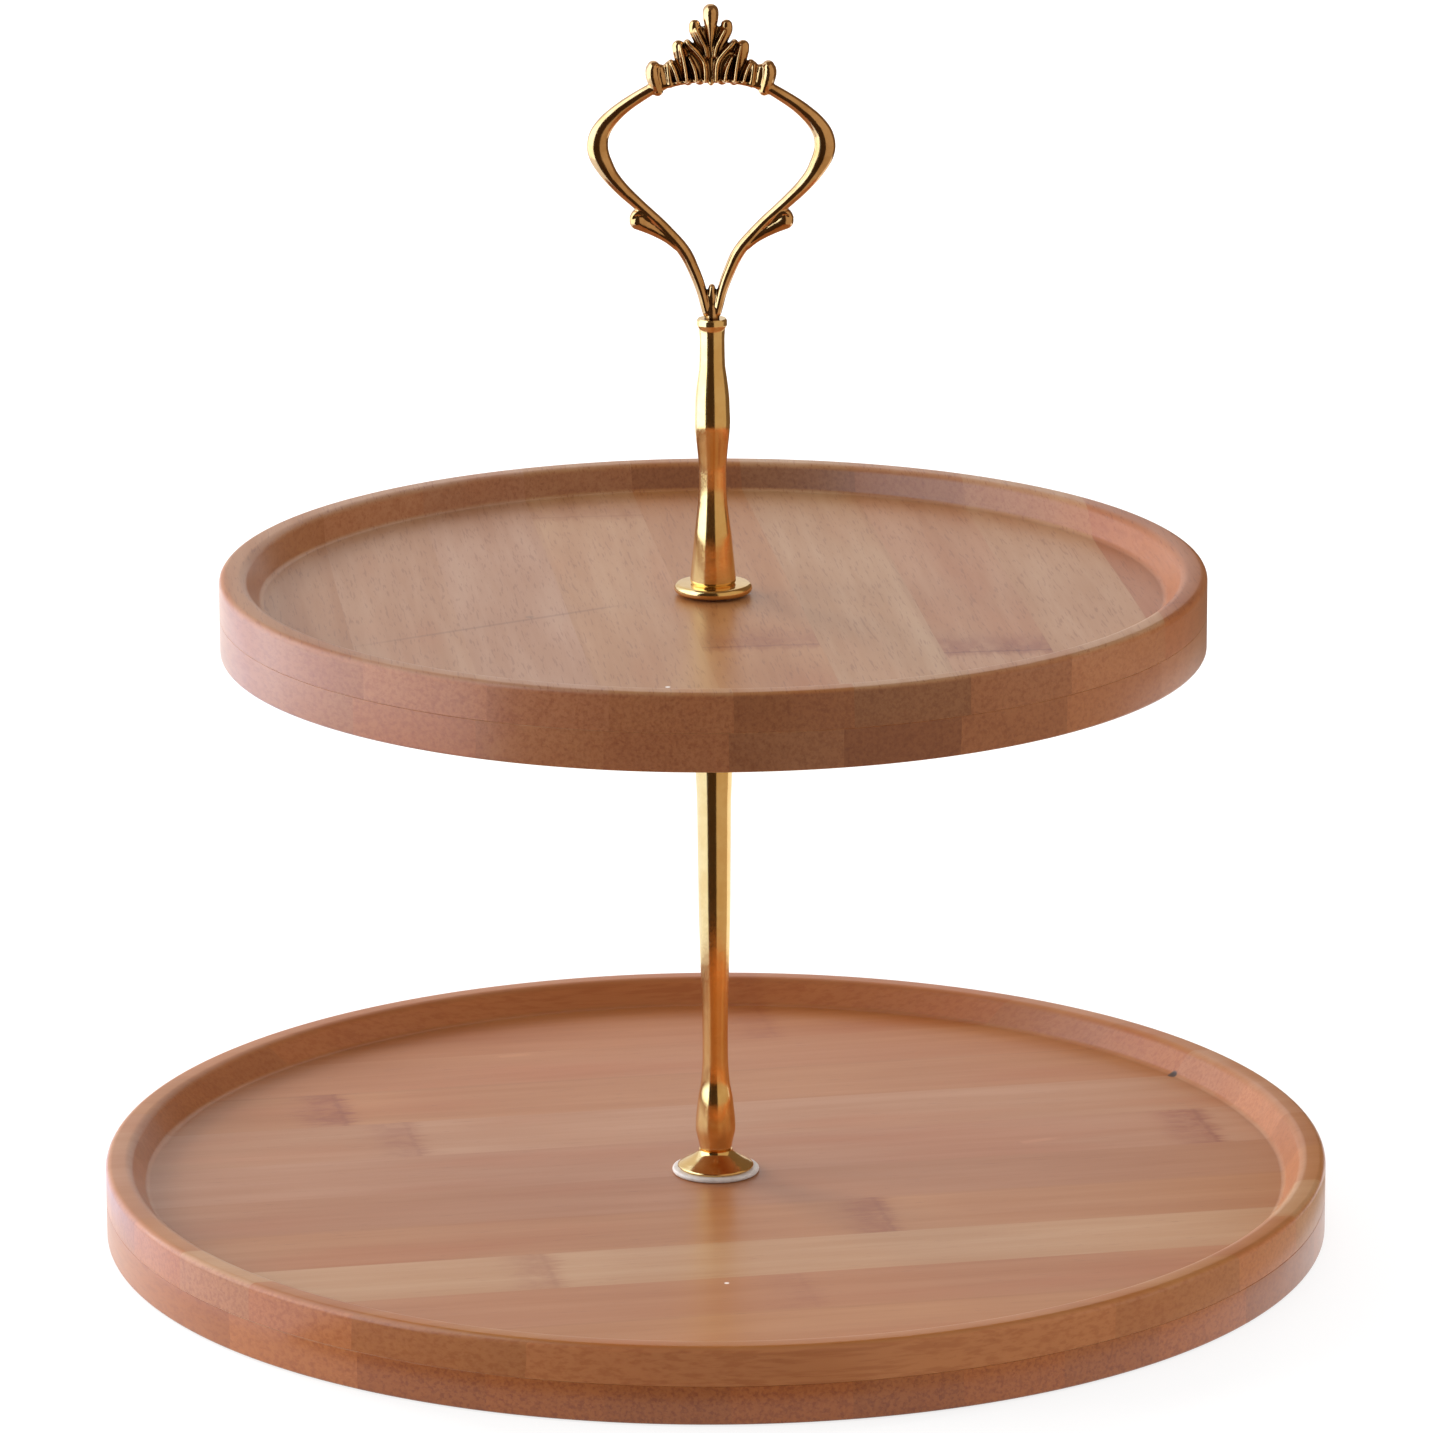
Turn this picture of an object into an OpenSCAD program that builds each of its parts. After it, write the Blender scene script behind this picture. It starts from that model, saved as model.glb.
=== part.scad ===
// Two-tier cake stand: two round bamboo trays clamped on a slim turned metal
// post, with a cast crown handle on top. Millimetres, +Z up, the origin at the
// centre of the lower tray's underside.

/* [Trays] */
// Diameter of the lower tray
lower_tray_d = 250; // [180:1:320]
// Diameter of the upper tray
upper_tray_d = 199; // [140:1:240]
// Thickness of one bamboo ply; a tray is two plies glued together
ply_t = 7.8; // [6.4:0.1:11]
// Depth of the routed recess below the rim
recess_depth = 5.3; // [3:0.1:6.4]
// Width of the rim, from the outer face to the top of the inner wall
rim_w = 5; // [3.5:0.1:10]
// How far the sloping inner wall runs inwards on its way down
wall_run = 3.3; // [1:0.1:6]
// Rounding of the rim's inner lip
lip_r = 2.4; // [0.5:0.1:3]
// Fillet where the inner wall meets the floor
cove_r = 1.5; // [0.5:0.1:2.5]
// Rounding of the outer top edge
edge_r = 1.4; // [0.3:0.1:2.5]
// Rounding of the outer bottom edge
base_edge_r = 0.6; // [0.2:0.1:2]
// Pocket under the lower tray that sinks the screw head
pocket_d = 23; // [20:0.5:40]
// Depth of that pocket
pocket_depth = 5.5; // [5.2:0.1:6.2]

/* [Clamp hardware] */
// Thread size of the tie stud and the bottom screw
thread_d = 4; // [3:0.1:4.6]
// Rise of that thread in one turn
thread_pitch = 0.7; // [0.5:0.05:0.8]
// Length of thread engaged in a post when tight
thread_grip = 8; // [6:0.5:9]
// Diameter of the soft gaskets at the lower tray's floor and under the upper tray
gasket_d = 17.8; // [15:0.1:24]
// Thickness of those gaskets
gasket_t = 1; // [0.6:0.1:1.6]
// Diameter of the thin pad under the upper flange
pad_d = 15; // [10:0.1:20]
// Thickness of that pad
pad_t = 0.4; // [0.2:0.1:1]
// Diameter of the flat flanges above and below the upper tray
flange_d = 15.8; // [11:0.1:22]
// Thickness of the flat flanges
flange_t = 2; // [1.4:0.1:3]
// Diameter of the bell flange on the lower tray
bell_d = 15.6; // [12:0.1:22]
// Height of the bell flange
bell_h = 3.8; // [2.5:0.1:7]
// Diameter of the bell flange's top
bell_top_d = 7.2; // [6.8:0.1:9]
// Diameter of the steel washer in the pocket
washer_d = 18; // [10:0.5:19.5]
// Thickness of the washer
washer_t = 1; // [0.8:0.1:1.2]
// Diameter of the screw head
head_d = 8; // [7:0.1:9.5]
// Height of the screw head
head_h = 2.4; // [1.8:0.1:2.8]

/* [Lower post] */
// Length of the lower post
lower_post_h = 104; // [80:1:160]
// Diameter of its foot, on the bell flange
lower_foot_d = 6.4; // [6:0.1:7]
// Diameter of the bulb just above the foot
bulb_d = 8.2; // [6.8:0.1:12]
// Height of the bulb's widest point
bulb_h = 4.8; // [3.5:0.1:7]
// Diameter of the slim waist above the bulb
lower_waist_d = 5.2; // [4:0.1:6.4]
// Height of the waist
lower_waist_h = 22; // [17:0.5:27]
// Diameter at the top of the post
lower_top_d = 8.8; // [6.8:0.1:11]

/* [Upper post] */
// Length of the upper post
upper_post_h = 54.4; // [48:0.2:80]
// Diameter of its flared foot
upper_foot_d = 9.2; // [7.4:0.1:12]
// Diameter of the waist above the foot
upper_waist_d = 5.5; // [4.4:0.1:7]
// Height of that waist
upper_waist_h = 21.7; // [18:0.1:26]
// Diameter of the long bulge
bulge_d = 7.2; // [5.8:0.1:10]
// Height of the bulge
bulge_h = 33.2; // [29:0.1:37]
// Diameter of the neck under the collar
neck_d = 4.8; // [4.4:0.1:6]
// Diameter of the collar that holds the handle
collar_d = 5.9; // [5.2:0.1:8]

/* [Handle] */
// Height of the handle above the collar
handle_h = 63.6; // [54:0.2:90]
// Overall width of the ring
ring_w = 49.6; // [40:0.2:64]
// Height of the ring's widest point above the collar
ring_h = 35.4; // [31:0.1:38]
// Width of the ring's arms at the widest point
arm_w = 4.3; // [3:0.1:6]
// Thickness of the ring's arms, front to back
arm_t = 3.6; // [3:0.1:5.5]
// Height of the side curls above the collar
curl_h = 19.5; // [16:0.1:22]
// Distance between the centres of the side curls
curl_span = 29; // [24:0.2:35]
// Diameter of the side curls
curl_d = 3.6; // [2.6:0.1:4.5]
// Overall width of the crown ornament
crown_w = 25.2; // [20:0.2:30]
// Height of the crown's base above the collar
crown_base_h = 47.4; // [46:0.1:50]
// Thickness of the crown ornament, front to back
crown_t = 4.2; // [3:0.1:6]
// Diameter of the tang that plugs into the post
tang_d = 3; // [2:0.1:3.2]
// Length of that tang
tang_h = 9; // [6:0.5:14]

/* [Fits] */
// Radial clearance of a threaded or plugged fit
fit = 0.04; // [0.02:0.01:0.1]
// Radial clearance of the holes that the thread only passes through
pass_gap = 0.3; // [0.2:0.05:0.8]

/* [Hidden] */
$fn = 96;
over = 0.5;

// Heights of the stack, from the table up
tray_t = 2 * ply_t;
floor_t = tray_t - recess_depth;
lower_gasket_z = floor_t;
bell_z = lower_gasket_z + gasket_t;
lower_post_z = bell_z + bell_h;
under_flange_z = lower_post_z + lower_post_h;
upper_gasket_z = under_flange_z + flange_t;
upper_tray_z = upper_gasket_z + gasket_t;
pad_z = upper_tray_z + floor_t;
upper_flange_z = pad_z + pad_t;
upper_post_z = upper_flange_z + flange_t;
handle_z = upper_post_z + upper_post_h;
washer_z = pocket_depth - gasket_t - washer_t;
head_z = washer_z - head_h;

// Holes
pass_d = thread_d + 2 * pass_gap;
tapped_d = thread_d + 2 * fit;
tap_spare = 1.5;

// ---------------------------------------------------------------- outlines

// Chord slope of an outline of [height, diameter] stations, from station i up
function chord(s, i) = (s[i + 1][1] - s[i][1]) / (s[i + 1][0] - s[i][0]);

// Slope through station i: level at the ends and at every high or low point
function slope(s, i) =
    i == 0 || i == len(s) - 1 ? 0
    : let (below = chord(s, i - 1), above = chord(s, i))
      below * above <= 0 ? 0 : 2 * below * above / (below + above);

// Diameter at the share t of the way from station i to the next one
function between(s, i, t) =
    let (h = s[i + 1][0] - s[i][0])
    (2 * t ^ 3 - 3 * t ^ 2 + 1) * s[i][1]
    + (t ^ 3 - 2 * t ^ 2 + t) * h * slope(s, i)
    + (3 * t ^ 2 - 2 * t ^ 3) * s[i + 1][1]
    + (t ^ 3 - t ^ 2) * h * slope(s, i + 1);

// Smooth turned outline through the stations, as [radius, height] points
function turned_line(s, steps) = concat(
    [for (i = [0:len(s) - 2], k = [0:steps - 1])
        let (t = k / steps)
        [between(s, i, t) / 2, s[i][0] + t * (s[i + 1][0] - s[i][0])]],
    [[s[len(s) - 1][1] / 2, s[len(s) - 1][0]]]
);

// A turned piece through [height, diameter] stations
module turned(s, steps = 6) {
    rotate_extrude()
        polygon(concat([[0, s[0][0]]], turned_line(s, steps),
                       [[0, s[len(s) - 1][0]]]));
}

// Takes off the outline's corner at the origin, which points along +X and +Y
module corner_off(r) {
    translate([-r, -r])
        difference() {
            square(2 * r);
            circle(r);
        }
}

// Soft ring with a rounded rim
module gasket(d, t, hole) {
    rotate_extrude()
        difference() {
            union() {
                square([(d - t) / 2, t]);
                translate([(d - t) / 2, t / 2]) circle(t / 2, $fn = 24);
            }
            translate([0, -over]) square([hole / 2, t + 2 * over]);
        }
}

// Ridges of a screw thread along a rod of the thread's size
module threaded_rod(h) {
    ridge = 0.25 * thread_pitch;
    turns = floor(h / thread_pitch);
    rotate_extrude()
        polygon(concat(
            [[0, 0]],
            [for (i = [0:turns - 1], side = [0, 1])
                [thread_d / 2 - (side == 0 ? ridge : 0),
                 (i + side / 2) * thread_pitch]],
            [[thread_d / 2 - ridge, turns * thread_pitch],
             [thread_d / 2 - ridge, h], [0, h]]
        ));
}

// ------------------------------------------------------------------- trays

// The routed recess of a tray of radius r, from its floor to above the rim
module recess_outline(r) {
    top_x = r - rim_w;
    floor_x = top_x - wall_run;
    wall_a = atan2(recess_depth, wall_run);
    cove_t = cove_r * tan(wall_a / 2);
    lip_t = lip_r * tan(wall_a / 2);
    difference() {
        polygon([[0, floor_t], [floor_x, floor_t], [top_x, tray_t],
                 [top_x, tray_t + over], [0, tray_t + over]]);
        // the fillet at the floor stays
        difference() {
            polygon([[floor_x, floor_t], [floor_x - cove_t, floor_t],
                     [floor_x - cove_t, floor_t + cove_r],
                     [floor_x + cove_t * cos(wall_a),
                      floor_t + cove_t * sin(wall_a)]]);
            translate([floor_x - cove_t, floor_t + cove_r]) circle(cove_r);
        }
    }
    // the lip is rounded off
    difference() {
        polygon([[top_x, tray_t], [top_x + lip_t, tray_t],
                 [top_x + lip_t, tray_t - lip_r],
                 [top_x - lip_t * cos(wall_a),
                  tray_t - lip_t * sin(wall_a)]]);
        translate([top_x + lip_t, tray_t - lip_r]) circle(lip_r);
    }
}

// Upper ply of a tray, with the whole recess in it
module top_ply(d) {
    r = d / 2;
    rotate_extrude($fn = 180)
        difference() {
            translate([pass_d / 2, ply_t]) square([r - pass_d / 2, ply_t]);
            recess_outline(r);
            translate([r, tray_t]) corner_off(edge_r);
        }
}

// Lower ply of a tray, with a pocket under it where pocket is over 0
module bottom_ply(d, pocket) {
    r = d / 2;
    rotate_extrude($fn = 180)
        difference() {
            translate([pass_d / 2, 0]) square([r - pass_d / 2, ply_t]);
            translate([r, 0]) mirror([0, 1]) corner_off(base_edge_r);
            if (pocket > 0)
                translate([0, -over]) square([pocket / 2, pocket_depth + over]);
        }
}

// ------------------------------------------------------------ the handle

// Eased curve through a list of points, which may have any number of values
function curve_at(p, i, t) =
    let (a = p[max(i - 1, 0)], b = p[i], c = p[i + 1],
         d = p[min(i + 2, len(p) - 1)])
    0.5 * (2 * b + (c - a) * t + (2 * a - 5 * b + 4 * c - d) * t ^ 2
           + (3 * b - a - 3 * c + d) * t ^ 3);
function curve(p, steps) = concat(
    [for (i = [0:len(p) - 2], k = [0:steps - 1]) curve_at(p, i, k / steps)],
    [p[len(p) - 1]]
);

// Outline of a cast bar along [x, z, width] points
module bar_outline(points, steps = 3) {
    line = curve(points, steps);
    n = len(line);
    sides = [for (i = [0:n - 1])
        let (a = line[max(i - 1, 0)], b = line[min(i + 1, n - 1)],
             run = [b[0] - a[0], b[1] - a[1]],
             out = [-run[1], run[0]] / norm(run) * line[i][2] / 2,
             here = [line[i][0], line[i][1]])
        [here + out, here - out]];
    polygon(concat([for (i = [0:n - 1]) sides[i][0]],
                   [for (i = [n - 1:-1:0]) sides[i][1]]));
}

// Stands an outline up in the XZ plane, t thick about Y = 0
module cast_plate(t) {
    rotate([90, 0, 0]) linear_extrude(t, center = true) children();
}

// The children and their mirror image
module both_sides() {
    children();
    mirror([1, 0, 0]) children();
}

// Landmarks of one side of the handle, as [x, height above the collar]
crown_end = [crown_w / 2 - 1.6, crown_base_h];
ring_side = [(ring_w - arm_w) / 2, ring_h];
curl = [curl_span / 2, curl_h];
crown_tip_h = handle_h - crown_base_h;
crotch_h = 5.7;
stem_w = 2.35;
rib_tip_d = 3.4;
scroll_d = 2.9;
scroll_up = 3.9;

// [x, height, width] at the shares u across and v up or down from a to b
function part_way(a, b, u, v, w) =
    [a[0] + u * (b[0] - a[0]), a[1] + v * (b[1] - a[1]), w];

// The arm of one side, from the crown's end round the ring to the curl
arm_line = [
    part_way(crown_end, ring_side, -0.07, 0, 0.53 * arm_w),
    part_way(crown_end, ring_side, 0.2, 0.15, 0.58 * arm_w),
    part_way(crown_end, ring_side, 0.53, 0.35, 0.64 * arm_w),
    part_way(crown_end, ring_side, 0.8, 0.55, 0.72 * arm_w),
    part_way(crown_end, ring_side, 0.95, 0.77, 0.88 * arm_w),
    part_way(ring_side, curl, 0, 0, arm_w),
    part_way(ring_side, curl, 0.09, 0.165, 0.96 * arm_w),
    part_way(ring_side, curl, 0.29, 0.33, 0.88 * arm_w),
    part_way(ring_side, curl, 0.56, 0.5, 0.78 * arm_w),
    part_way(ring_side, curl, 0.87, 0.67, 0.68 * arm_w),
    part_way(ring_side, curl, 1.16, 0.82, 0.58 * arm_w)
];

// The stem of one side, from the curl down into the collar
stem_line = [
    part_way([0, 0], curl, 1, 1, 0.75 * curl_d),
    part_way([0, 0], curl, 0.83, 0.955, stem_w),
    part_way([0, 0], curl, 0.645, 0.89, stem_w),
    part_way([0, 0], curl, 0.465, 0.785, stem_w),
    part_way([0, 0], curl, 0.325, 0.64, stem_w),
    part_way([0, 0], curl, 0.205, 0.475, stem_w),
    part_way([0, 0], curl, 0.125, 0.3, stem_w),
    part_way([0, 0], curl, 0.08, 0.13, 0.9 * stem_w),
    part_way([0, 0], curl, 0.055, 0, 0.75 * stem_w)
];

// The strand that runs on from the arm into the stem, on the inner side
link_line = [
    part_way([0, 0], curl, 0.96, 1.2, 2),
    part_way([0, 0], curl, 0.8, 1.075, 2),
    part_way([0, 0], curl, 0.61, 0.93, 2),
    part_way([0, 0], curl, 0.46, 0.78, 1.8)
];

// The base arc that the petals stand on
arc_line = [for (u = [-1, -0.5, 0, 0.5, 1])
    [u * crown_end[0], crown_base_h + 1.6 - 1.2 * u ^ 2, 1.9 + 0.4 * abs(u)]];

// Petals on one side of the crown: [base x, tip x, tip height, width], the
// first two in shares of the crown's half width, the third of its height
petals = [
    [0.07, 0.23, 0.85, 0.19],
    [0.2, 0.37, 0.63, 0.15],
    [0.35, 0.49, 0.595, 0.22],
    [0.6, 0.66, 0.385, 0.16],
    [0.73, 0.78, 0.24, 0.18]
];

// One petal, which swells towards its round tip
module petal_outline(p) {
    half = crown_w / 2;
    w = p[3] * half;
    foot = [p[0] * half, crown_base_h + 0.8];
    tip = [p[1] * half, crown_base_h + p[2] * crown_tip_h - w / 2];
    bar_outline([[foot[0], foot[1], 0.75 * w],
                 [foot[0] + 0.6 * (tip[0] - foot[0]), (foot[1] + tip[1]) / 2, 0.9 * w],
                 [tip[0], tip[1], 0.9 * w]], steps = 2);
    translate(tip) circle(d = w, $fn = 24);
}

module crown_handle() {
    color("darkgoldenrod")
        translate([0, 0, handle_z]) {
            // the ring's arms, the stems and the web in their crotch, level with
            // the collar below
            cast_plate(arm_t)
                difference() {
                    union() {
                        both_sides() {
                            bar_outline(arm_line);
                            bar_outline(stem_line);
                            bar_outline(link_line);
                        }
                        bar_outline([[0, 0, 1.32 * stem_w],
                                     [0, crotch_h / 2, 1.1 * stem_w],
                                     [0, crotch_h, 0.5 * stem_w]]);
                    }
                    translate([-2 * stem_w, -2 * over])
                        square([4 * stem_w, 2 * over]);
                }
            // the crown of petals on its base arc, and the curls
            cast_plate(crown_t) {
                both_sides() {
                    for (p = petals) petal_outline(p);
                    translate(crown_end + [0.1, scroll_up])
                        circle(d = scroll_d, $fn = 32);
                    bar_outline([[crown_end[0], crown_end[1] + 0.2, 0.8 * scroll_d],
                                 [crown_end[0] + 0.1, crown_end[1] + scroll_up,
                                  0.8 * scroll_d]]);
                    translate(curl) circle(d = curl_d, $fn = 32);
                }
                bar_outline(arc_line);
            }
            // the middle rib with its round tip
            cast_plate(crown_t + 0.6) {
                bar_outline([[0, crown_base_h + 0.4, 2],
                             [0, crown_base_h + 0.45 * crown_tip_h, 2.2],
                             [0, handle_h - rib_tip_d / 2, 0.9 * rib_tip_d]]);
                translate([0, handle_h - rib_tip_d / 2])
                    circle(d = rib_tip_d, $fn = 32);
            }
            // the tang in the post
            translate([0, 0, -tang_h + over])
                cylinder(h = tang_h, d = tang_d, $fn = 48);
        }
}

// ------------------------------------------------------------ the hardware

module upper_post() {
    top = upper_post_h;
    color("gold")
        translate([0, 0, upper_post_z])
            difference() {
                turned([[0, upper_foot_d - 0.4], [0.5, upper_foot_d],
                        [upper_waist_h, upper_waist_d], [bulge_h, bulge_d],
                        [top - 9.6, neck_d + 0.1], [top - 4, neck_d],
                        [top - 1.2, collar_d], [top, collar_d - 0.5]]);
                translate([0, 0, -over])
                    cylinder(h = thread_grip + tap_spare + over, d = tapped_d);
                translate([0, 0, top - tang_h])
                    cylinder(h = tang_h + over, d = tang_d + 2 * fit);
            }
}

// Flat disc with a rounded rim, under or over the upper tray
module flat_flange(hole) {
    color("gold")
        rotate_extrude()
            difference() {
                union() {
                    square([(flange_d - flange_t) / 2, flange_t]);
                    translate([(flange_d - flange_t) / 2, flange_t / 2])
                        circle(flange_t / 2, $fn = 32);
                }
                translate([0, -over])
                    square([hole / 2, flange_t + 2 * over]);
            }
}

module upper_flange() {
    translate([0, 0, upper_flange_z]) flat_flange(pass_d);
}

module under_flange() {
    translate([0, 0, under_flange_z]) flat_flange(pass_d);
}

module tie_stud() {
    down = thread_grip + 2;
    up = upper_post_z + thread_grip - under_flange_z;
    color("silver")
        translate([0, 0, under_flange_z - down]) threaded_rod(down + up);
}

module lower_post() {
    top = lower_post_h;
    rise = top - lower_waist_h;
    swell = lower_top_d - lower_waist_d;
    color("gold")
        translate([0, 0, lower_post_z])
            difference() {
                turned([[0, lower_foot_d], [bulb_h, bulb_d],
                        [lower_waist_h - 7.4, lower_waist_d + 0.7],
                        [lower_waist_h, lower_waist_d],
                        [lower_waist_h + 0.24 * rise, lower_waist_d + 0.15 * swell],
                        [lower_waist_h + 0.7 * rise, lower_waist_d + 0.63 * swell],
                        [top - 1, lower_top_d], [top, lower_top_d - 0.5]]);
                translate([0, 0, -over])
                    cylinder(h = thread_grip + tap_spare + over, d = tapped_d);
                translate([0, 0, top - thread_grip - 2])
                    cylinder(h = thread_grip + 2 + over, d = tapped_d);
            }
}

module bell_flange() {
    color("gold")
        translate([0, 0, bell_z])
            difference() {
                turned([[0, bell_d - 0.5], [0.4, bell_d],
                        [0.32 * bell_h, 0.87 * bell_d],
                        [0.62 * bell_h, 0.3 * bell_d + 0.7 * bell_top_d],
                        [bell_h - 0.4, bell_top_d + 0.1], [bell_h, bell_top_d - 0.4]]);
                translate([0, 0, -over])
                    cylinder(h = bell_h + 2 * over, d = pass_d);
            }
}

module bottom_washer() {
    color("silver")
        translate([0, 0, washer_z])
            difference() {
                cylinder(h = washer_t, d = washer_d);
                translate([0, 0, -over])
                    cylinder(h = washer_t + 2 * over, d = pass_d);
            }
}

module bottom_screw() {
    shank = lower_post_z + thread_grip - washer_z;
    slot = [0.55 * head_d, 0.12 * head_d, 0.6 * head_h + over];
    color("silver") {
        translate([0, 0, washer_z]) threaded_rod(shank);
        translate([0, 0, head_z])
            difference() {
                rotate_extrude()
                    difference() {
                        square([head_d / 2, head_h]);
                        translate([head_d / 2, 0])
                            mirror([0, 1]) corner_off(0.35 * head_h);
                    }
                for (turn = [0, 90])
                    rotate(turn)
                        translate([-slot[0] / 2, -slot[1] / 2, -over]) cube(slot);
            }
    }
}

// ------------------------------------------------- trays and gaskets, placed

module upper_tray_top_ply() {
    color("burlywood") translate([0, 0, upper_tray_z]) top_ply(upper_tray_d);
}

module upper_tray_bottom_ply() {
    color("tan") translate([0, 0, upper_tray_z]) bottom_ply(upper_tray_d, 0);
}

module lower_tray_top_ply() {
    color("burlywood") top_ply(lower_tray_d);
}

module lower_tray_bottom_ply() {
    color("tan") bottom_ply(lower_tray_d, pocket_d);
}

module upper_top_gasket() {
    color("whitesmoke") translate([0, 0, pad_z]) gasket(pad_d, pad_t, pass_d);
}

module upper_bottom_gasket() {
    color("whitesmoke")
        translate([0, 0, upper_gasket_z]) gasket(gasket_d, gasket_t, pass_d);
}

module lower_top_gasket() {
    color("whitesmoke")
        translate([0, 0, lower_gasket_z]) gasket(gasket_d, gasket_t, pass_d);
}

module lower_bottom_gasket() {
    color("whitesmoke")
        translate([0, 0, pocket_depth - gasket_t])
            gasket(washer_d + 2, gasket_t, pass_d);
}

crown_handle();
upper_post();
upper_flange();
upper_top_gasket();
upper_tray_top_ply();
upper_tray_bottom_ply();
upper_bottom_gasket();
under_flange();
tie_stud();
lower_post();
bell_flange();
lower_top_gasket();
lower_tray_top_ply();
lower_tray_bottom_ply();
lower_bottom_gasket();
bottom_washer();
bottom_screw();
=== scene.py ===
"""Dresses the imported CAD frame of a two-tier bamboo cake stand.

The round trays, the turned posts and flanges, the soft gaskets and the cast
crown handle are built again as finer meshes in the places their CAD nodes hold,
and every piece and every CAD node gets a procedural finish. Lengths are in
millimetres inside the classes and in metres on the meshes.
"""

import logging
import math
from dataclasses import dataclass
from enum import Enum

import bmesh
import bpy
import numpy as np
from mathutils import Matrix, Vector


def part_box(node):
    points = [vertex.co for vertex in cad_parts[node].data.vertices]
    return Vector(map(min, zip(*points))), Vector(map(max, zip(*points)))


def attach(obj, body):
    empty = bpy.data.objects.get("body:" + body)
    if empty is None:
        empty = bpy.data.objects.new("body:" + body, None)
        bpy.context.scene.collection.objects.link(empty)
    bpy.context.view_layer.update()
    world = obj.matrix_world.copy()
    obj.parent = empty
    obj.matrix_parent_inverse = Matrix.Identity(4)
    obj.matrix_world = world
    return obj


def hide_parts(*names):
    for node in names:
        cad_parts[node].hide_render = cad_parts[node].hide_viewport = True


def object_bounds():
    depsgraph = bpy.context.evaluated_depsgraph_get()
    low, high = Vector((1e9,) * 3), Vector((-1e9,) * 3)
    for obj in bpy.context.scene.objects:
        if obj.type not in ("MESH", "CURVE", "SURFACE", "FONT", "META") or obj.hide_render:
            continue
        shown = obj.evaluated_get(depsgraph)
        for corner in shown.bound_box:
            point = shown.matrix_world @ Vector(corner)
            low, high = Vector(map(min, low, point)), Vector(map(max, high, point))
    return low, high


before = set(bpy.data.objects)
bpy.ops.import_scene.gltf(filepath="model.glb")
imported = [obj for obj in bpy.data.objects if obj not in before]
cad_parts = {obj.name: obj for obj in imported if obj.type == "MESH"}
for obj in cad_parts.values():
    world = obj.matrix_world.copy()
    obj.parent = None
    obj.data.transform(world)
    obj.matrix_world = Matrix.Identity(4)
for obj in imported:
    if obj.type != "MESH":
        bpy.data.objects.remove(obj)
cad_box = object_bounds()

MM = 0.001

# An outline's point that is nearer the axis than this lies on it
AXIS_R = 1e-6
# Steps of a curve between two of its points
CURVE_STEPS = 6
# Edges that turn by more than this stay unsmoothed
EDGE_DEG = 40

log = logging.getLogger("cake_stand")

Point = tuple[float, float]
Colour = tuple[float, float, float]
Thing = bpy.types.Object
Socket = bpy.types.NodeSocket
Input = Socket | float | tuple


class Slot(Enum):
    """Material slots of the record, one given with each piece; the script doesn't read them."""

    BAMBOO = "bamboo"
    BAMBOO_DARK = "bamboo_dark"
    GOLD = "gold"
    ANTIQUE_GOLD = "antique_gold"
    GASKET = "gasket"


class Body(Enum):
    """Bodies of the CAD frame that the pieces ride on."""

    LOWER_TRAY = "lower_tray"
    LOWER_POST = "lower_post"
    UPPER_TRAY = "upper_tray"
    UPPER_FLANGE = "upper_flange"
    UPPER_POST = "upper_post"


# ------------------------------------------------------------------ outlines


def arc(centre: Point, radius: float, start: float, end: float, steps: int) -> list[Point]:
    """Points of an arc, both ends included, between two angles in degrees from outwards."""
    turns = [math.radians(start + (end - start) * i / steps) for i in range(steps + 1)]
    return [(centre[0] + radius * math.cos(a), centre[1] + radius * math.sin(a)) for a in turns]


def turned_line(stations: tuple[Point, ...]) -> list[Point]:
    """Smooth turned outline that neither dips nor bulges between its stations.

    Args:
        stations: Heights and diameters, from the bottom up.

    Returns:
        Radii and heights along the outline.
    """
    heights = [s[0] for s in stations]
    widths = [s[1] / 2 for s in stations]
    chords = [w / h for w, h in zip(np.diff(widths), np.diff(heights))]
    slopes = [chords[0] / 2]
    for below, above in zip(chords, chords[1:]):
        slopes.append(2 * below * above / (below + above) if below * above > 0 else 0.0)
    slopes.append(chords[-1] / 2)
    line = []
    for i, run in enumerate(np.diff(heights)):
        for k in range(CURVE_STEPS):
            t = k / CURVE_STEPS
            width = (2 * t**3 - 3 * t**2 + 1) * widths[i] + (3 * t**2 - 2 * t**3) * widths[i + 1]
            width += run * ((t**3 - 2 * t**2 + t) * slopes[i] + (t**3 - t**2) * slopes[i + 1])
            line.append((width, heights[i] + t * run))
    line.append((widths[-1], heights[-1]))
    return line


# -------------------------------------------------------------------- meshes


def mesh_object(name: str, points: np.ndarray, faces: list, edge_deg: float = EDGE_DEG) -> Thing:
    """Makes a closed, smooth shaded mesh object.

    Args:
        name: Name of the piece.
        points: Vertices, in millimetres.
        faces: Vertex numbers of each face.
        edge_deg: Edges that turn by more than this stay unsmoothed.

    Returns:
        The new object, linked to the scene.
    """
    mesh = bpy.data.meshes.new(name)
    mesh.from_pydata([tuple(p) for p in points * MM], [], faces)
    shaped = bmesh.new()
    shaped.from_mesh(mesh)
    bmesh.ops.recalc_face_normals(shaped, faces=shaped.faces)
    shaped.to_mesh(mesh)
    shaped.free()
    mesh.polygons.foreach_set("use_smooth", [True] * len(mesh.polygons))
    mesh.set_sharp_from_angle(angle=math.radians(edge_deg))
    return linked(name, mesh)


def linked(name: str, data: bpy.types.ID) -> Thing:
    """New object of a mesh, light or camera, linked to the scene.

    Args:
        name: Name of the object.
        data: What it shows.

    Returns:
        The new object.
    """
    made = bpy.data.objects.new(name, data)
    bpy.context.scene.collection.objects.link(made)
    return made


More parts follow.
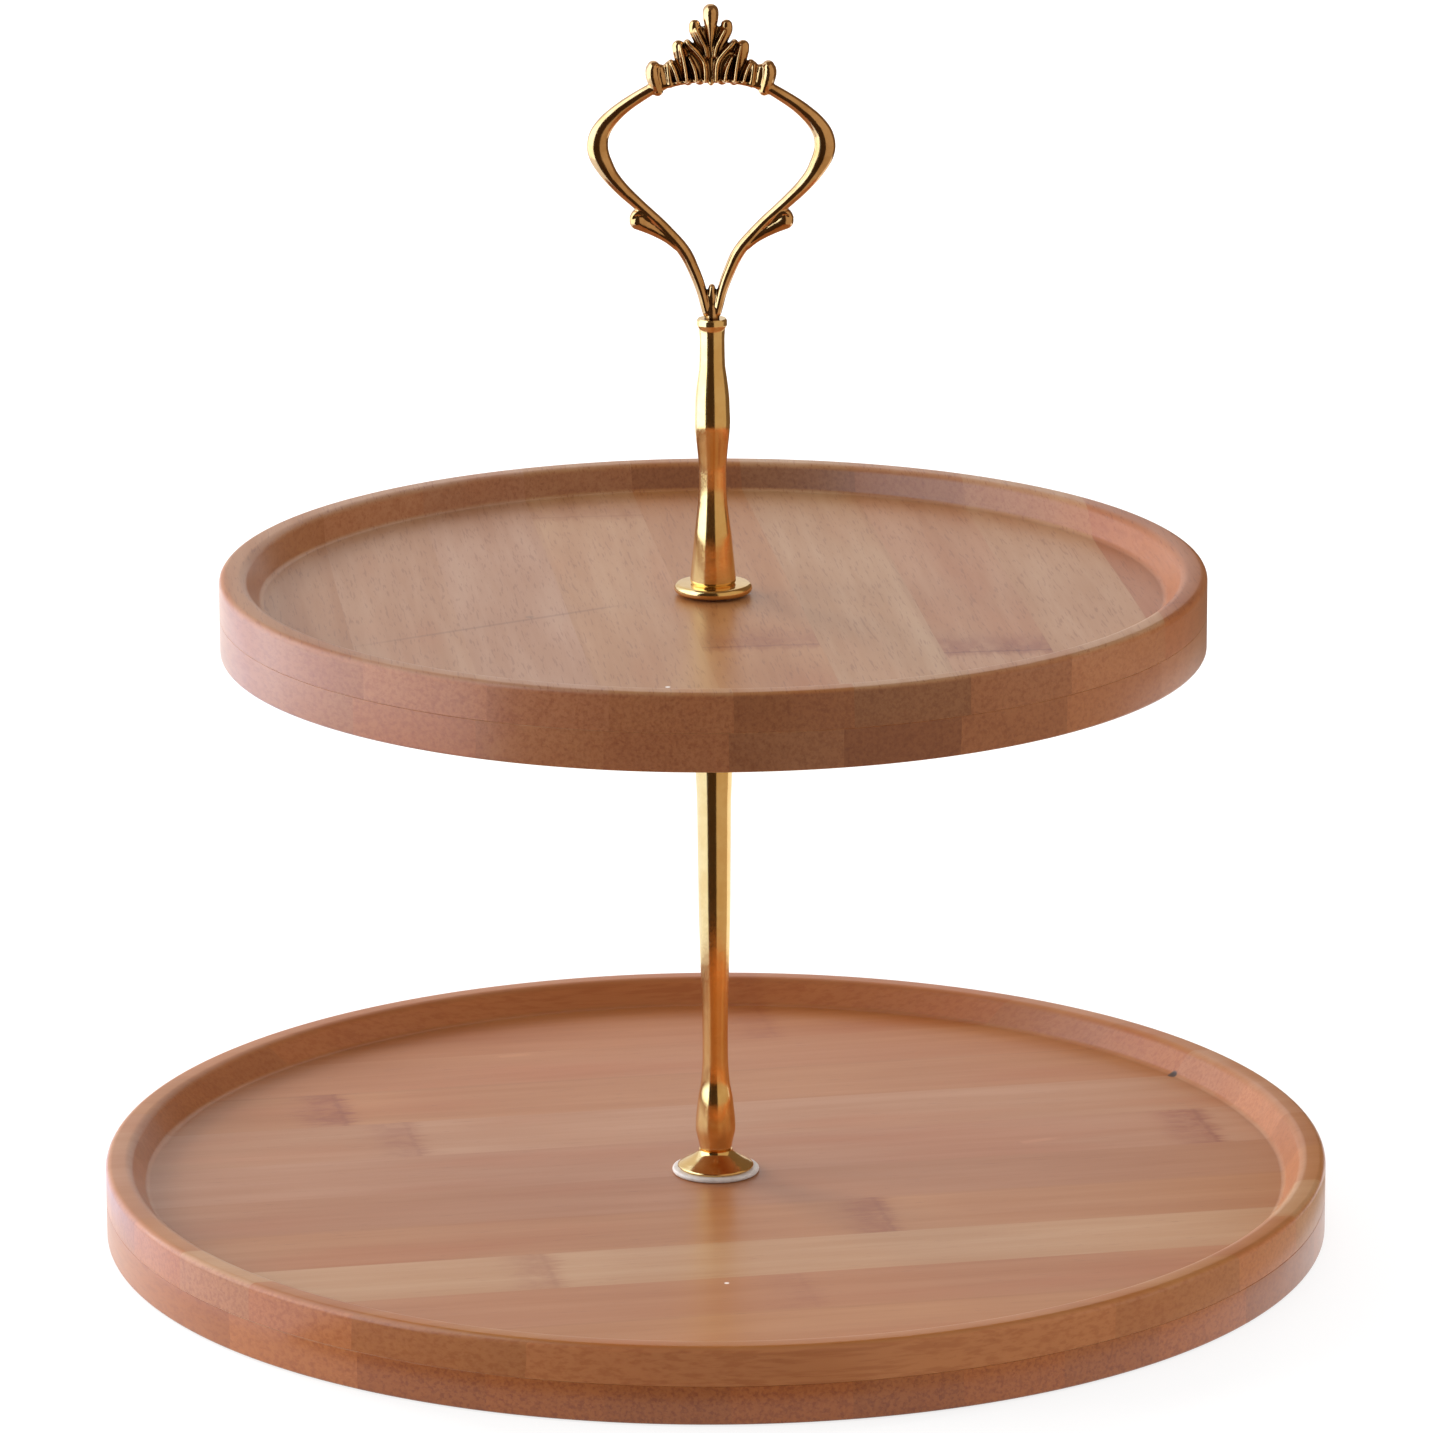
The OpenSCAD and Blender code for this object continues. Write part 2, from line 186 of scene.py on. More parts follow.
def lathe(name: str, outline: list[Point], segments: int) -> Thing:
    """Turns an outline about the vertical axis into a closed solid.

    Args:
        name: Name of the piece.
        outline: Radii and heights in millimetres. It closes on itself, or on
            the axis where its two ends have no radius.
        segments: How many steps go round the axis.

    Returns:
        The turned object.
    """
    turns = np.arange(segments) * 2 * math.pi / segments
    points, rings = [], []
    for radius, height in outline:
        first = len(points)
        if radius < AXIS_R:
            points.append((0.0, 0.0, height))
            rings.append([first] * segments)
        else:
            points.extend((radius * math.cos(a), radius * math.sin(a), height) for a in turns)
            rings.append(list(range(first, first + segments)))
    pairs = list(zip(rings, rings[1:]))
    if outline[0][0] > AXIS_R:
        pairs.append((rings[-1], rings[0]))
    faces = []
    for one, two in pairs:
        for k in range(segments):
            n = (k + 1) % segments
            corners = list(dict.fromkeys((one[k], one[n], two[n], two[k])))
            if len(corners) > 2:
                faces.append(corners)
    return mesh_object(name, np.array(points), faces)


# ------------------------------------------------------------ material graphs

TO_MM = (1000.0,) * 3
UNSCALED = (1.0,) * 3


def srgb(red: float, green: float, blue: float) -> Colour:
    """Linear colour of display values, which go from 0 to 255."""
    shares = [c / 255 for c in (red, green, blue)]
    return tuple(s / 12.92 if s <= 0.04045 else ((s + 0.055) / 1.055) ** 2.4 for s in shares)


class Graph:
    """Node tree of one material, written one short call a node."""

    def __init__(self, tree: bpy.types.NodeTree) -> None:
        """Starts from an empty tree."""
        self.tree = tree
        self.tree.nodes.clear()

    def node(self, kind: str, **settings: str | int) -> bpy.types.Node:
        """Adds a node.

        Args:
            kind: Blender's name for the kind of node.
            **settings: Properties to set on it.

        Returns:
            The new node.
        """
        made = self.tree.nodes.new(kind)
        for key, value in settings.items():
            setattr(made, key, value)
        return made

    def feed(self, socket: Socket, value: Input) -> None:
        """Links a socket to another node's output, or sets its own value.

        Args:
            socket: The input to fill.
            value: An output, a number, or three numbers.
        """
        if isinstance(value, Socket):
            self.tree.links.new(value, socket)
        elif isinstance(value, tuple) and len(value) == 3 and socket.type == "RGBA":
            socket.default_value = (*value, 1.0)
        else:
            socket.default_value = value

    def end(self, shader: bpy.types.Node, kind: str = "ShaderNodeOutputMaterial") -> None:
        """Makes a shader the tree's output."""
        self.feed(self.node(kind).inputs[0], shader.outputs[0])

    def math(self, operation: str, a: Input, b: Input = 0.0, c: Input = 0.0) -> Socket:
        """Adds a Math node.

        Args:
            operation: What it computes.
            a: First value.
            b: Second value.
            c: Third value.

        Returns:
            Its result.
        """
        made = self.node("ShaderNodeMath", operation=operation)
        for socket, value in zip(made.inputs, (a, b, c)):
            self.feed(socket, value)
        return made.outputs[0]

    def times(self, a: Input, b: Input) -> Socket:
        """Product of two values."""
        return self.math("MULTIPLY", a, b)

    def rest(self, value: Input) -> Socket:
        """What a value leaves of 1."""
        return self.math("SUBTRACT", 1.0, value)

    def size(self, value: Input) -> Socket:
        """A value without its sign."""
        return self.math("ABSOLUTE", value)

    def rise(self, value: Input, low: float, high: float) -> Socket:
        """Smooth step from 0 to 1.

        Args:
            value: What it follows.
            low: Value at which it is 0.
            high: Value at which it is 1.

        Returns:
            The step's height.
        """
        made = self.node("ShaderNodeMapRange", interpolation_type="SMOOTHSTEP")
        for name, given in (("Value", value), ("From Min", low), ("From Max", high)):
            self.feed(made.inputs[name], given)
        return made.outputs[0]

    def spread(self, value: Input, low: float, high: float, first: float, last: float) -> Socket:
        """Straight map of one range onto another, held at both ends.

        Args:
            value: What it follows.
            low: Value at which the result is first.
            high: Value at which the result is last.
            first: Result at low.
            last: Result at high.

        Returns:
            The mapped value.
        """
        made = self.node("ShaderNodeMapRange")
        names = ("Value", "From Min", "From Max", "To Min", "To Max")
        for name, given in zip(names, (value, low, high, first, last)):
            self.feed(made.inputs[name], given)
        return made.outputs[0]

    def mix(self, factor: Input, a: Input, b: Input, blend: str = "MIX") -> Socket:
        """Mixes two colours.

        Args:
            factor: Share of the second colour.
            a: First colour.
            b: Second colour.
            blend: How they are mixed.

        Returns:
            The mixed colour.
        """
        made = self.node("ShaderNodeMix", data_type="RGBA", blend_type=blend)
        for socket, value in zip((made.inputs[0], made.inputs[6], made.inputs[7]), (factor, a, b)):
            self.feed(socket, value)
        return made.outputs[2]

    def tinted(self, colour: Input, tint: Input, share: Input) -> Socket:
        """A colour multiplied by a tint, as far as the share says."""
        return self.mix(share, colour, tint, "MULTIPLY")

    def steps(self, place: Input, stops: list[tuple[float, Colour]]) -> Socket:
        """Colours that follow each other in steps.

        Args:
            place: Where on the row of steps it reads, from 0 to 1.
            stops: Where each step starts, and its colour.

        Returns:
            The colour at that place.
        """
        made = self.node("ShaderNodeValToRGB")
        made.color_ramp.interpolation = "CONSTANT"
        held = made.color_ramp.elements
        while len(held) > 1:
            held.remove(held[-1])
        held[0].position = stops[0][0]
        held[0].color = (*stops[0][1], 1.0)
        for start, colour in stops[1:]:
            held.new(start).color = (*colour, 1.0)
        self.feed(made.inputs[0], place)
        return made.outputs[0]

    def noise(
        self, vector: Socket, scale: float, detail: float = 2.0, rough: float = 0.5, bent: float = 0.0
    ) -> Socket:
        """Adds a Noise Texture.

        Args:
            vector: Where it is read.
            scale: How fast it changes.
            detail: How many finer layers it has.
            rough: How strong each finer layer is.
            bent: How far it is distorted.

        Returns:
            Its value, from 0 to 1.
        """
        made = self.node("ShaderNodeTexNoise")
        names = ("Vector", "Scale", "Detail", "Roughness", "Distortion")
        for name, given in zip(names, (vector, scale, detail, rough, bent)):
            self.feed(made.inputs[name], given)
        return made.outputs[0]

    def place(self, vector: Socket, scale: tuple, turn_deg: float = 0.0) -> Socket:
        """Scales a vector and then turns it about Z.

        Args:
            vector: The vector.
            scale: Factors along X, Y and Z.
            turn_deg: Turn, in degrees.

        Returns:
            The new vector.
        """
        made = self.node("ShaderNodeMapping")
        self.feed(made.inputs["Vector"], vector)
        made.inputs["Scale"].default_value = scale
        made.inputs["Rotation"].default_value = (0.0, 0.0, math.radians(turn_deg))
        return made.outputs[0]

    def spot(self) -> Socket:
        """Point of the piece that is shaded, in millimetres."""
        return self.place(self.node("ShaderNodeTexCoord").outputs["Object"], TO_MM)

    def parts(self, vector: Socket) -> tuple[Socket, ...]:
        """Takes a vector apart.

        Args:
            vector: The vector.

        Returns:
            Its X, Y and Z.
        """
        made = self.node("ShaderNodeSeparateXYZ")
        self.feed(made.inputs[0], vector)
        return tuple(made.outputs)

    def join(self, *values: Input) -> Socket:
        """Makes a vector.

        Args:
            *values: Its X, Y and Z.

        Returns:
            The vector.
        """
        made = self.node("ShaderNodeCombineXYZ")
        for socket, value in zip(made.inputs, values):
            self.feed(socket, value)
        return made.outputs[0]

    def between(self, operation: str, vector: Socket, point: tuple) -> bpy.types.Node:
        """Vector Math node between a vector and a fixed point.

        Args:
            operation: What it computes.
            vector: The vector.
            point: The fixed point.

        Returns:
            The new node.
        """
        made = self.node("ShaderNodeVectorMath", operation=operation)
        self.feed(made.inputs[0], vector)
        made.inputs[1].default_value = point
        return made

    def bump(self, height: Input, depth_mm: float, strength: float = 1.0) -> Socket:
        """Relief of a surface.

        Args:
            height: Height of the relief, from 0 to 1.
            depth_mm: How deep it is, in millimetres.
            strength: How strongly it shows.

        Returns:
            The surface's new normal.
        """
        made = self.node("ShaderNodeBump")
        made.inputs["Strength"].default_value = strength
        made.inputs["Distance"].default_value = depth_mm * MM
        self.feed(made.inputs["Height"], height)
        return made.outputs[0]

    def surface(self, **sockets: Input) -> None:
        """Makes a Principled shader with those socket values the surface."""
        shader = self.node("ShaderNodeBsdfPrincipled")
        for name, value in sockets.items():
            self.feed(shader.inputs[name.replace("_", " ").title().replace("Ior", "IOR")], value)
        self.end(shader)


def new_graph(name: str) -> tuple[bpy.types.Material, Graph]:
    """Starts a material.

    Args:
        name: Name of the material.

    Returns:
        The material and its empty graph.
    """
    made = bpy.data.materials.new(name)
    made.use_nodes = True
    return made, Graph(made.node_tree)


# ------------------------------------------------------------------- finishes

# What a mark leaves of the wood's red, green and blue
DARK_STREAK = (0.84, 0.7, 0.56)
PALE_STREAK = (1.08, 1.16, 1.22)
PALE_CLOUD = (1.08, 1.16, 1.3)
WARM_CLOUD = (1.0, 0.84, 0.7)
DARK_FIBRE = (0.85, 0.7, 0.58)
RING_PATCH = (0.74, 0.5, 0.42)
RING_LINE = (0.6, 0.32, 0.22)
BEHIND_RING = (1.12, 1.24, 1.4)
PORE = (0.55, 0.34, 0.24)
GLUE_LINE = (0.7, 0.55, 0.45)
CUT_SIDE = (1.15, 0.985, 0.82)
SIDE_FIBRE = (0.78, 0.64, 0.5)
END_GRAIN = (0.92, 0.82, 0.72)
END_PRICK = (0.6, 0.42, 0.3)
# Tint of the painted shadow line on the upper floor
PAINTED_SHADOW_LINE = (0.55, 0.42, 0.38)
PALE_CREASE = (1.3, 1.5, 1.8)

# Linear colours
# Colour of dark specks, and of the painted shadow dot on the upper floor
DARK_SPECK_OR_SHADOW = (0.04, 0.025, 0.02)
PALE_SPECK = (0.95, 0.93, 0.92)
# Painted shade that darkens the metal's crevices
METAL_HOLLOW_SHADE = (0.05, 0.017, 0.005)

# Half the width of a glue line, and how far a growth ring's edge wanders, in millimetres
GLUE_HALF_W = 0.16
RAGGED_RUN = 9.0

# How far a strip's fibres are moved along and across, so that each has its own run
SEED_SHIFT = (400.0, 60.0)

# Where a growth ring's line is full and gone, in millimetres from its middle
RING_LINE_EDGE = (0.15, 0.9)
# Where the pale stretch behind a ring begins and is full, and where it begins to go and is gone
BEHIND_STARTS = (1.0, 4.0)
BEHIND_ENDS = (6.0, 22.0)

# How strongly some marks show, from 0 to 1
BEHIND_SHARE = 0.6
GLUE_SHARE = 0.2
SIDE_FIBRE_SHARE = 0.6
END_GRAIN_SHARE = 0.5
CLOUD_SHARE = 0.7

# How far a surface faces up where it begins to be a side, and where it is one
SIDE_FACING = (0.9, 0.4)
# How far it faces along the grain where end grain begins, and where it is full
END_FACING = (0.35, 0.9)


@dataclass(frozen=True)
class Pattern:
    """Noise that is stretched along the grain.

    Attributes:
        rates: How fast it changes along, across and through the grain, per millimetre.
        detail: How many finer layers it has.
        rough: How strong each finer layer is.
        bent: How far it is distorted.
    """

    rates: tuple[float, float, float]
    detail: float = 2.0
    rough: float = 0.5
    bent: float = 0.0

    def value(self, g: Graph, fibres: Socket) -> Socket:
        """The pattern in a graph, read along the fibres."""
        return g.noise(g.place(fibres, self.rates), 1.0, self.detail, self.rough, self.bent)


# Patterns that the wood is made of
WANDER = Pattern((0.02, 0.1, 0.1), 1.0)
SOFT_GRAIN = Pattern((0.014, 0.2, 0.2), 3.0, 0.6)
FINE_GRAIN = Pattern((0.05, 1.1, 1.1), 2.0, 0.65)
PORES = Pattern((0.2, 2.4, 1.8), 1.0)
CLOUDS = Pattern((0.012, 0.05, 0.05))
MOTTLE = Pattern((0.2, 0.32, 0.3), 3.0, 0.6, 0.6)
RAGGED = Pattern((0.12, 0.9, 0.9))
PRICKS = Pattern((0.3, 1.3, 1.3))


@dataclass(frozen=True)
class Strip:
    """One bamboo strip of a ply.

    Attributes:
        edge: Where it starts across the grain, in millimetres.
        colour: Its colour, as display values.
        ring: Where its growth ring lies along the grain, in millimetres.
        mark: How strongly that ring shows, from 0 to 1.
        wall: How light it is where it comes out at the tray's side.
    """

    edge: float
    colour: Colour
    ring: float = 0.0
    mark: float = 0.0
    wall: float = 0.85


@dataclass(frozen=True)
class SpeckOrShadowDot:
    """Small round mark in the wood, or a dot of painted shadow.

    Attributes:
        place: Its middle, in millimetres.
        radius: Its radius, in millimetres.
        dark: How dark it is, or how pale where it is below 0.
    """

    place: tuple[float, float, float]
    radius: float
    dark: float

    def on(self, g: Graph, spot: Socket, colour: Socket) -> Socket:
        """Puts the speck or the painted shadow dot on the wood.

        Args:
            g: The material's graph.
            spot: Point that is shaded, in millimetres.
            colour: The wood's colour without it.

        Returns:
            The colour with it.
        """
        gap = g.between("DISTANCE", spot, self.place).outputs["Value"]
        near = g.rest(g.rise(gap, 0.6 * self.radius, self.radius))
        return g.mix(g.times(near, abs(self.dark)), colour, DARK_SPECK_OR_SHADOW if self.dark > 0 else PALE_SPECK)


@dataclass(frozen=True)
class CreaseOrShadowLine:
    """Thin line that fades towards its end: a pale crease in the wood, or, where it is dark, a painted shadow
    line.

    Attributes:
        place: Where it starts, in millimetres.
        turn: Its direction, in degrees from +X.
        length: Its length, in millimetres.
        width: Its half width, in millimetres.
        dark: How dark the painted shadow line is, or how pale the crease is where it is below 0.
    """

    place: tuple[float, float, float]
    turn: float
    length: float
    width: float
    dark: float

    def on(self, g: Graph, spot: Socket, colour: Socket) -> Socket:
        """Puts the crease or the painted shadow line on the wood.

        Args:
            g: The material's graph.
            spot: Point that is shaded, in millimetres.
            colour: The wood's colour without it.

        Returns:
            The colour with it.
        """
        moved = g.between("SUBTRACT", spot, self.place).outputs[0]
        run, off, lift = g.parts(g.place(moved, UNSCALED, -self.turn))
        off = g.math("MAXIMUM", g.size(off), g.size(lift))
        held = g.rest(g.rise(off, 0.3 * self.width, self.width))
        begun = g.times(g.rise(run, 0.0, 0.1 * self.length), g.rise(run, self.length, 0.6 * self.length))
        shade = PAINTED_SHADOW_LINE if self.dark > 0 else PALE_CREASE
        return g.tinted(colour, shade, g.times(g.times(held, begun), abs(self.dark)))


@dataclass(frozen=True)
class Lacquer:
    """Satin lacquer over the bamboo.

    Attributes:
        roughness: Lowest and highest roughness of the wood under it.
        shine: How strongly that wood shines by itself.
        coat: How thick the lacquer is on the floor and on the sides, from 0 to 1.
        coat_roughness: Its roughness.
        fibres: How high the fibres stand, from 0 to 1.
        pores: How deep the pores lie, from 0 to 1.
        relief_mm: Depth of that relief, in millimetres.
        relief: How strongly it shows.
    """

    roughness: tuple[float, float] = (0.36, 0.46)
    shine: float = 0.08
    coat: tuple[float, float] = (0.55, 1.0)
    coat_roughness: float = 0.3
    fibres: float = 0.6
    pores: float = 0.7
    relief_mm: float = 0.05
    relief: float = 0.4


@dataclass(frozen=True)
class Grain:
    """What every part of a bamboo material reads.

    Attributes:
        along: Place along the grain, in millimetres.
        at: Place across the strips, from 0 to 1.
        own: Place among the strip's own fibres, in millimetres.
        ring_at: Where the strip's growth ring lies, from 0 to 1.
        mark: How strongly that ring shows, from 0 to 1.
        soft: Long soft pattern of the fibres.
        fine: Fine pattern of the fibres.
    """

    along: Socket
    at: Socket
    own: Socket
    ring_at: Socket
    mark: Socket
    soft: Socket
    fine: Socket


@dataclass(frozen=True)
class BambooFinish:
    """Lacquered edge-glued bamboo.

    Attributes:
        name: Name of the material.
        grain_deg: Direction of the grain, in degrees from +X.
        strips: The strips, in order across the grain.
        ticks: How strongly the short dark pores show.
        tick_level: How rare those pores are, from 0.5 to 0.75.
        streaks: How strongly the long soft streaks show.
        ring_run: How far a growth ring's brown patch runs along the grain.
        ring_line: How strongly the dark line at its end shows.
        marks: Specks and creases, and the painted shadow line and dot.
        end_marks: How dark the pricks in the end grain are.
        span: Largest distance from the middle that the strips reach.
        side_tone: Colour that the cut sides lean to, as display values.
        side_share: How far they lean to it.
        lacquer: What it is lacquered with.
    """

    name: str
    grain_deg: float
    strips: tuple[Strip, ...]
    ticks: float
    tick_level: float
    streaks: float
    ring_run: float = 18.0
    ring_line: float = 0.7
    marks: tuple[SpeckOrShadowDot | CreaseOrShadowLine, ...] = ()
    end_marks: float = 0.25
    span: float = 130.0
    side_tone: Colour = (148, 96, 60)
    side_share: float = 0.65
    lacquer: Lacquer = Lacquer()

    def share(self, length: float) -> float:
        """Place of a length on a row of steps, from 0 to 1."""
        return (length + self.span) / (2 * self.span)

    def material(self) -> bpy.types.Material:
        """Makes the material.

        Returns:
            Bamboo whose strips, growth rings and pores run through the solid.
        """
        made, g = new_graph(self.name)
        spot = g.spot()
        grain = self.grain(g, spot)
        cloud = CLOUDS.value(g, grain.own)
        colour = g.steps(grain.at, [(self.share(s.edge), srgb(*s.colour)) for s in self.strips])
        for value, low, high, share, tint in (
            (grain.soft, 0.35, 0.7, self.streaks, DARK_STREAK),
            (grain.soft, 0.5, 0.3, 0.5 * self.streaks, PALE_STREAK),
            (cloud, 0.45, 0.7, CLOUD_SHARE, PALE_CLOUD),
            (cloud, 0.5, 0.3, CLOUD_SHARE, WARM_CLOUD),
            (grain.fine, 0.42, 0.72, 0.5 * self.streaks, DARK_FIBRE),
        ):
            colour = g.tinted(colour, tint, g.times(g.rise(value, low, high), share))
        pores = g.rise(PORES.value(g, grain.own), self.tick_level, self.tick_level + 0.1)
        dots = g.times(pores, self.ticks)
        colour = g.tinted(self.ringed(g, grain, colour), PORE, dots)
        colour = self.glued(g, grain, colour)
        facing = g.node("ShaderNodeTexCoord").outputs["Normal"]
        end_on, _, upright = g.parts(g.place(facing, UNSCALED, -self.grain_deg))
        sides = g.rise(g.size(upright), *SIDE_FACING)
        colour = self.cut(g, grain, colour, sides, g.rise(g.size(end_on), *END_FACING))
        for small in self.marks:
            colour = small.on(g, spot, colour)
        lacquer = self.lacquer
        relief = g.math("ADD", g.times(grain.fine, lacquer.fibres), g.times(dots, -lacquer.pores))
        g.surface(
            base_color=colour,
            roughness=g.spread(grain.soft, 0.3, 0.7, *lacquer.roughness),
            normal=g.bump(relief, lacquer.relief_mm, lacquer.relief),
            specular_ior_level=lacquer.shine,
            coat_weight=g.spread(sides, 0.0, 1.0, *lacquer.coat),
            coat_roughness=lacquer.coat_roughness,
        )
        return made

    def grain(self, g: Graph, spot: Socket) -> Grain:
        """Finds the strip and the fibres that a point lies in.

        Args:
            g: The material's graph.
            spot: The point, in millimetres.

        Returns:
            What the rest of the material reads there.
        """
        turned = g.place(spot, UNSCALED, -self.grain_deg)
        along, across, height = g.parts(turned)
        wander = g.math("MULTIPLY_ADD", WANDER.value(g, turned), 0.8, g.math("SUBTRACT", across, 0.4))
        at = g.math("MULTIPLY_ADD", wander, 0.5 / self.span, 0.5)
        codes = [
            (self.share(s.edge), (self.share(s.ring), s.mark, (0.37 * i * i + 0.13) % 1.0))
            for i, s in enumerate(self.strips)
        ]
        ring_at, mark, seed = g.parts(g.steps(at, codes))
        shifted = [g.math("MULTIPLY_ADD", seed, s, v) for s, v in zip(SEED_SHIFT, (along, across))]
        own = g.join(*shifted, height)
        return Grain(along, at, own, ring_at, mark, SOFT_GRAIN.value(g, own), FINE_GRAIN.value(g, own))

    def ringed(self, g: Graph, grain: Grain, colour: Socket) -> Socket:
        """Growth rings: a mottled brown patch that ends in a dark line.

        Args:
            g: The material's graph.
            grain: The strips and fibres.
            colour: Colour of the wood without the rings.

        Returns:
            The colour with the rings.
        """
        ragged = g.math("MULTIPLY_ADD", RAGGED.value(g, grain.own), RAGGED_RUN, -RAGGED_RUN / 2)
        ring = g.math("MULTIPLY_ADD", grain.ring_at, 2 * self.span, -self.span)
        past = g.math("ADD", g.math("SUBTRACT", grain.along, ring), ragged)
        patch = g.times(
            g.rise(past, -self.ring_run, -0.15 * self.ring_run),
            g.rest(g.rise(past, 0.0, 0.25 * self.ring_run)),
        )
        patch = g.times(patch, g.spread(MOTTLE.value(g, grain.own), 0.35, 0.6, 0.25, 1.0))
        line_gap = g.size(g.math("ADD", past, g.times(ragged, -0.85)))
        line = g.times(g.rest(g.rise(line_gap, *RING_LINE_EDGE)), self.ring_line)
        behind = g.times(g.rise(past, *BEHIND_STARTS), g.rest(g.rise(past, *BEHIND_ENDS)))
        colour = g.tinted(colour, RING_PATCH, g.times(patch, grain.mark))
        colour = g.tinted(colour, RING_LINE, g.times(line, grain.mark))
        return g.tinted(colour, BEHIND_RING, g.times(g.times(behind, grain.mark), BEHIND_SHARE))

    def glued(self, g: Graph, grain: Grain, colour: Socket) -> Socket:
        """Thin glue lines between the strips.

        Args:
            g: The material's graph.
            grain: The strips and fibres.
            colour: Colour of the wood without them.

        Returns:
            The colour with the glue lines.
        """
        edges = [(0.0, (0.0,) * 3)]
        for strip in self.strips[1:]:
            edges.append((self.share(strip.edge - GLUE_HALF_W), (1.0,) * 3))
            edges.append((self.share(strip.edge + GLUE_HALF_W), (0.0,) * 3))
        return g.tinted(colour, GLUE_LINE, g.times(g.steps(grain.at, edges), GLUE_SHARE))

    def cut(self, g: Graph, grain: Grain, colour: Socket, sides: Socket, ends: Socket) -> Socket:
        """Cut sides, which are darker, and speckled where the fibres end.

        Args:
            g: The material's graph.
            grain: The strips and fibres.
            colour: Colour of the wood inside.
            sides: How far the surface is a side of the tray.
            ends: How far it cuts across the fibres.

        Returns:
            The colour with the sides.
        """
        colour = g.mix(g.times(sides, self.side_share), colour, srgb(*self.side_tone))
        colour = g.tinted(colour, CUT_SIDE, sides)
        walls = [(self.share(s.edge), (s.wall,) * 3) for s in self.strips]
        colour = g.tinted(colour, g.steps(grain.at, walls), sides)
        fibres = g.times(sides, g.rise(grain.fine, 0.42, 0.66))
        colour = g.tinted(colour, SIDE_FIBRE, g.times(fibres, SIDE_FIBRE_SHARE))
        colour = g.tinted(colour, END_GRAIN, g.times(ends, END_GRAIN_SHARE))
        pricks = g.times(ends, g.rise(PRICKS.value(g, grain.own), 0.48, 0.62))
        return g.tinted(colour, END_PRICK, g.times(pricks, self.end_marks))


@dataclass(frozen=True)
class MetalFinish:
    """Polished or aged metal.

    Attributes:
        name: Name of the material.
        colour: Linear colour of the polished metal.
        shade: Linear colour of its duller patches.
        roughness: Lowest and highest roughness.
        hollow_shade: How dark the painted shade in the crevices is, from 0 to 1.
        reach: How far into a crevice that painted shade reaches, in millimetres.
        ripple: Depth of the slight waviness, in millimetres.
    """

    name: str
    colour: Colour
    shade: Colour
    roughness: tuple[float, float]
    hollow_shade: float = 0.0
    reach: float = 1.0
    ripple: float = 0.0

    def material(self) -> bpy.types.Material:
        """Makes the material.

        Returns:
            Metal with slight patches of tone and gloss, and painted shade in its crevices.
        """
        made, g = new_graph(self.name)
        spot = g.spot()
        patches = g.noise(spot, scale=0.22, detail=4.0, rough=0.6)
        gloss = g.noise(spot, scale=2.6, detail=2.0, rough=0.55)
        colour = g.mix(g.rise(patches, 0.35, 0.7), self.colour, self.shade)
        # Painted shade: the colour darkens where ambient occlusion finds a crevice
        if self.hollow_shade > 0:
            hollow = g.node("ShaderNodeAmbientOcclusion", samples=12)
            hollow.inputs["Distance"].default_value = self.reach * MM
            depth = g.rise(hollow.outputs["AO"], 0.88, 0.5)
            colour = g.mix(g.times(depth, self.hollow_shade), colour, METAL_HOLLOW_SHADE)
        g.surface(
            base_color=colour,
            metallic=1.0,
            roughness=g.spread(gloss, 0.3, 0.75, *self.roughness),
            normal=g.bump(g.noise(spot, scale=0.35), self.ripple),
        )
        return made


@dataclass(frozen=True)
class SoftFinish:
    """Milky soft plastic of the gaskets.

    Attributes:
        name: Name of the material.
        colour: Linear colour.
        roughness: Lowest roughness.
        dulled: How light its cloudy patches are beside the rest.
    """

    name: str
    colour: Colour
    roughness: float
    dulled: float = 0.88

    def material(self) -> bpy.types.Material:
        """Makes the material.

        Returns:
            Slightly cloudy soft plastic.
        """
        made, g = new_graph(self.name)
        spot = g.spot()
        cloud = g.noise(spot, scale=0.8, detail=3.0)
        duller = tuple(self.dulled * c for c in self.colour)
        g.surface(
            base_color=g.mix(g.rise(cloud, 0.35, 0.7), self.colour, duller),
            roughness=g.spread(cloud, 0.3, 0.7, self.roughness, self.roughness + 0.1),
            normal=g.bump(g.noise(spot, scale=3.0), depth_mm=0.02, strength=0.4),
        )
        return made


Finish = BambooFinish | MetalFinish | SoftFinish

UPPER_STRIPS = (
    Strip(-130.0, (154, 100, 60)),
    Strip(-98.0, (152, 102, 64), 60, 0.3, 0.87),
    Strip(-76.0, (158, 113, 80), wall=0.98),
    Strip(-53.5, (158, 114, 84), wall=0.87),
    Strip(-30.5, (160, 114, 76), -70, 0.4, 0.83),
    Strip(-7.3, (155, 103, 60), 43, 0.75, 0.67),
    Strip(15.6, (160, 118, 82), wall=0.59),
    Strip(38.6, (157, 108, 72), 53, 1.0, 0.75),
    Strip(60.5, (161, 117, 82), wall=0.9),
    Strip(83.0, (148, 88, 50), 40, 0.3, 0.95),
)
LOWER_STRIPS = (
    Strip(-130.0, (158, 100, 54), wall=0.88),
    Strip(-111.3, (160, 104, 56), wall=0.76),
    Strip(-89.3, (157, 99, 55), 4, 0.3, 0.92),
    Strip(-67.3, (167, 123, 84), -44, 0.6, 0.82),
    Strip(-46.0, (157, 102, 58), 28, 0.8, 0.9),
    Strip(-24.3, (152, 98, 60), wall=0.8),
    Strip(-2.3, (157, 106, 72), 106, 1.0, 0.9),
    Strip(21.0, (160, 111, 76), -58, 0.6, 0.8),
    Strip(44.5, (156, 100, 56), -70, 1.0, 0.86),
    Strip(66.1, (157, 99, 56), wall=0.78),
    Strip(88.0, (154, 93, 48), 30, 0.4, 0.93),
)
CORNER_STRIP = Strip(108.5, (146, 90, 50), wall=0.78)
UPPER_GRAIN_DEG = -83.7


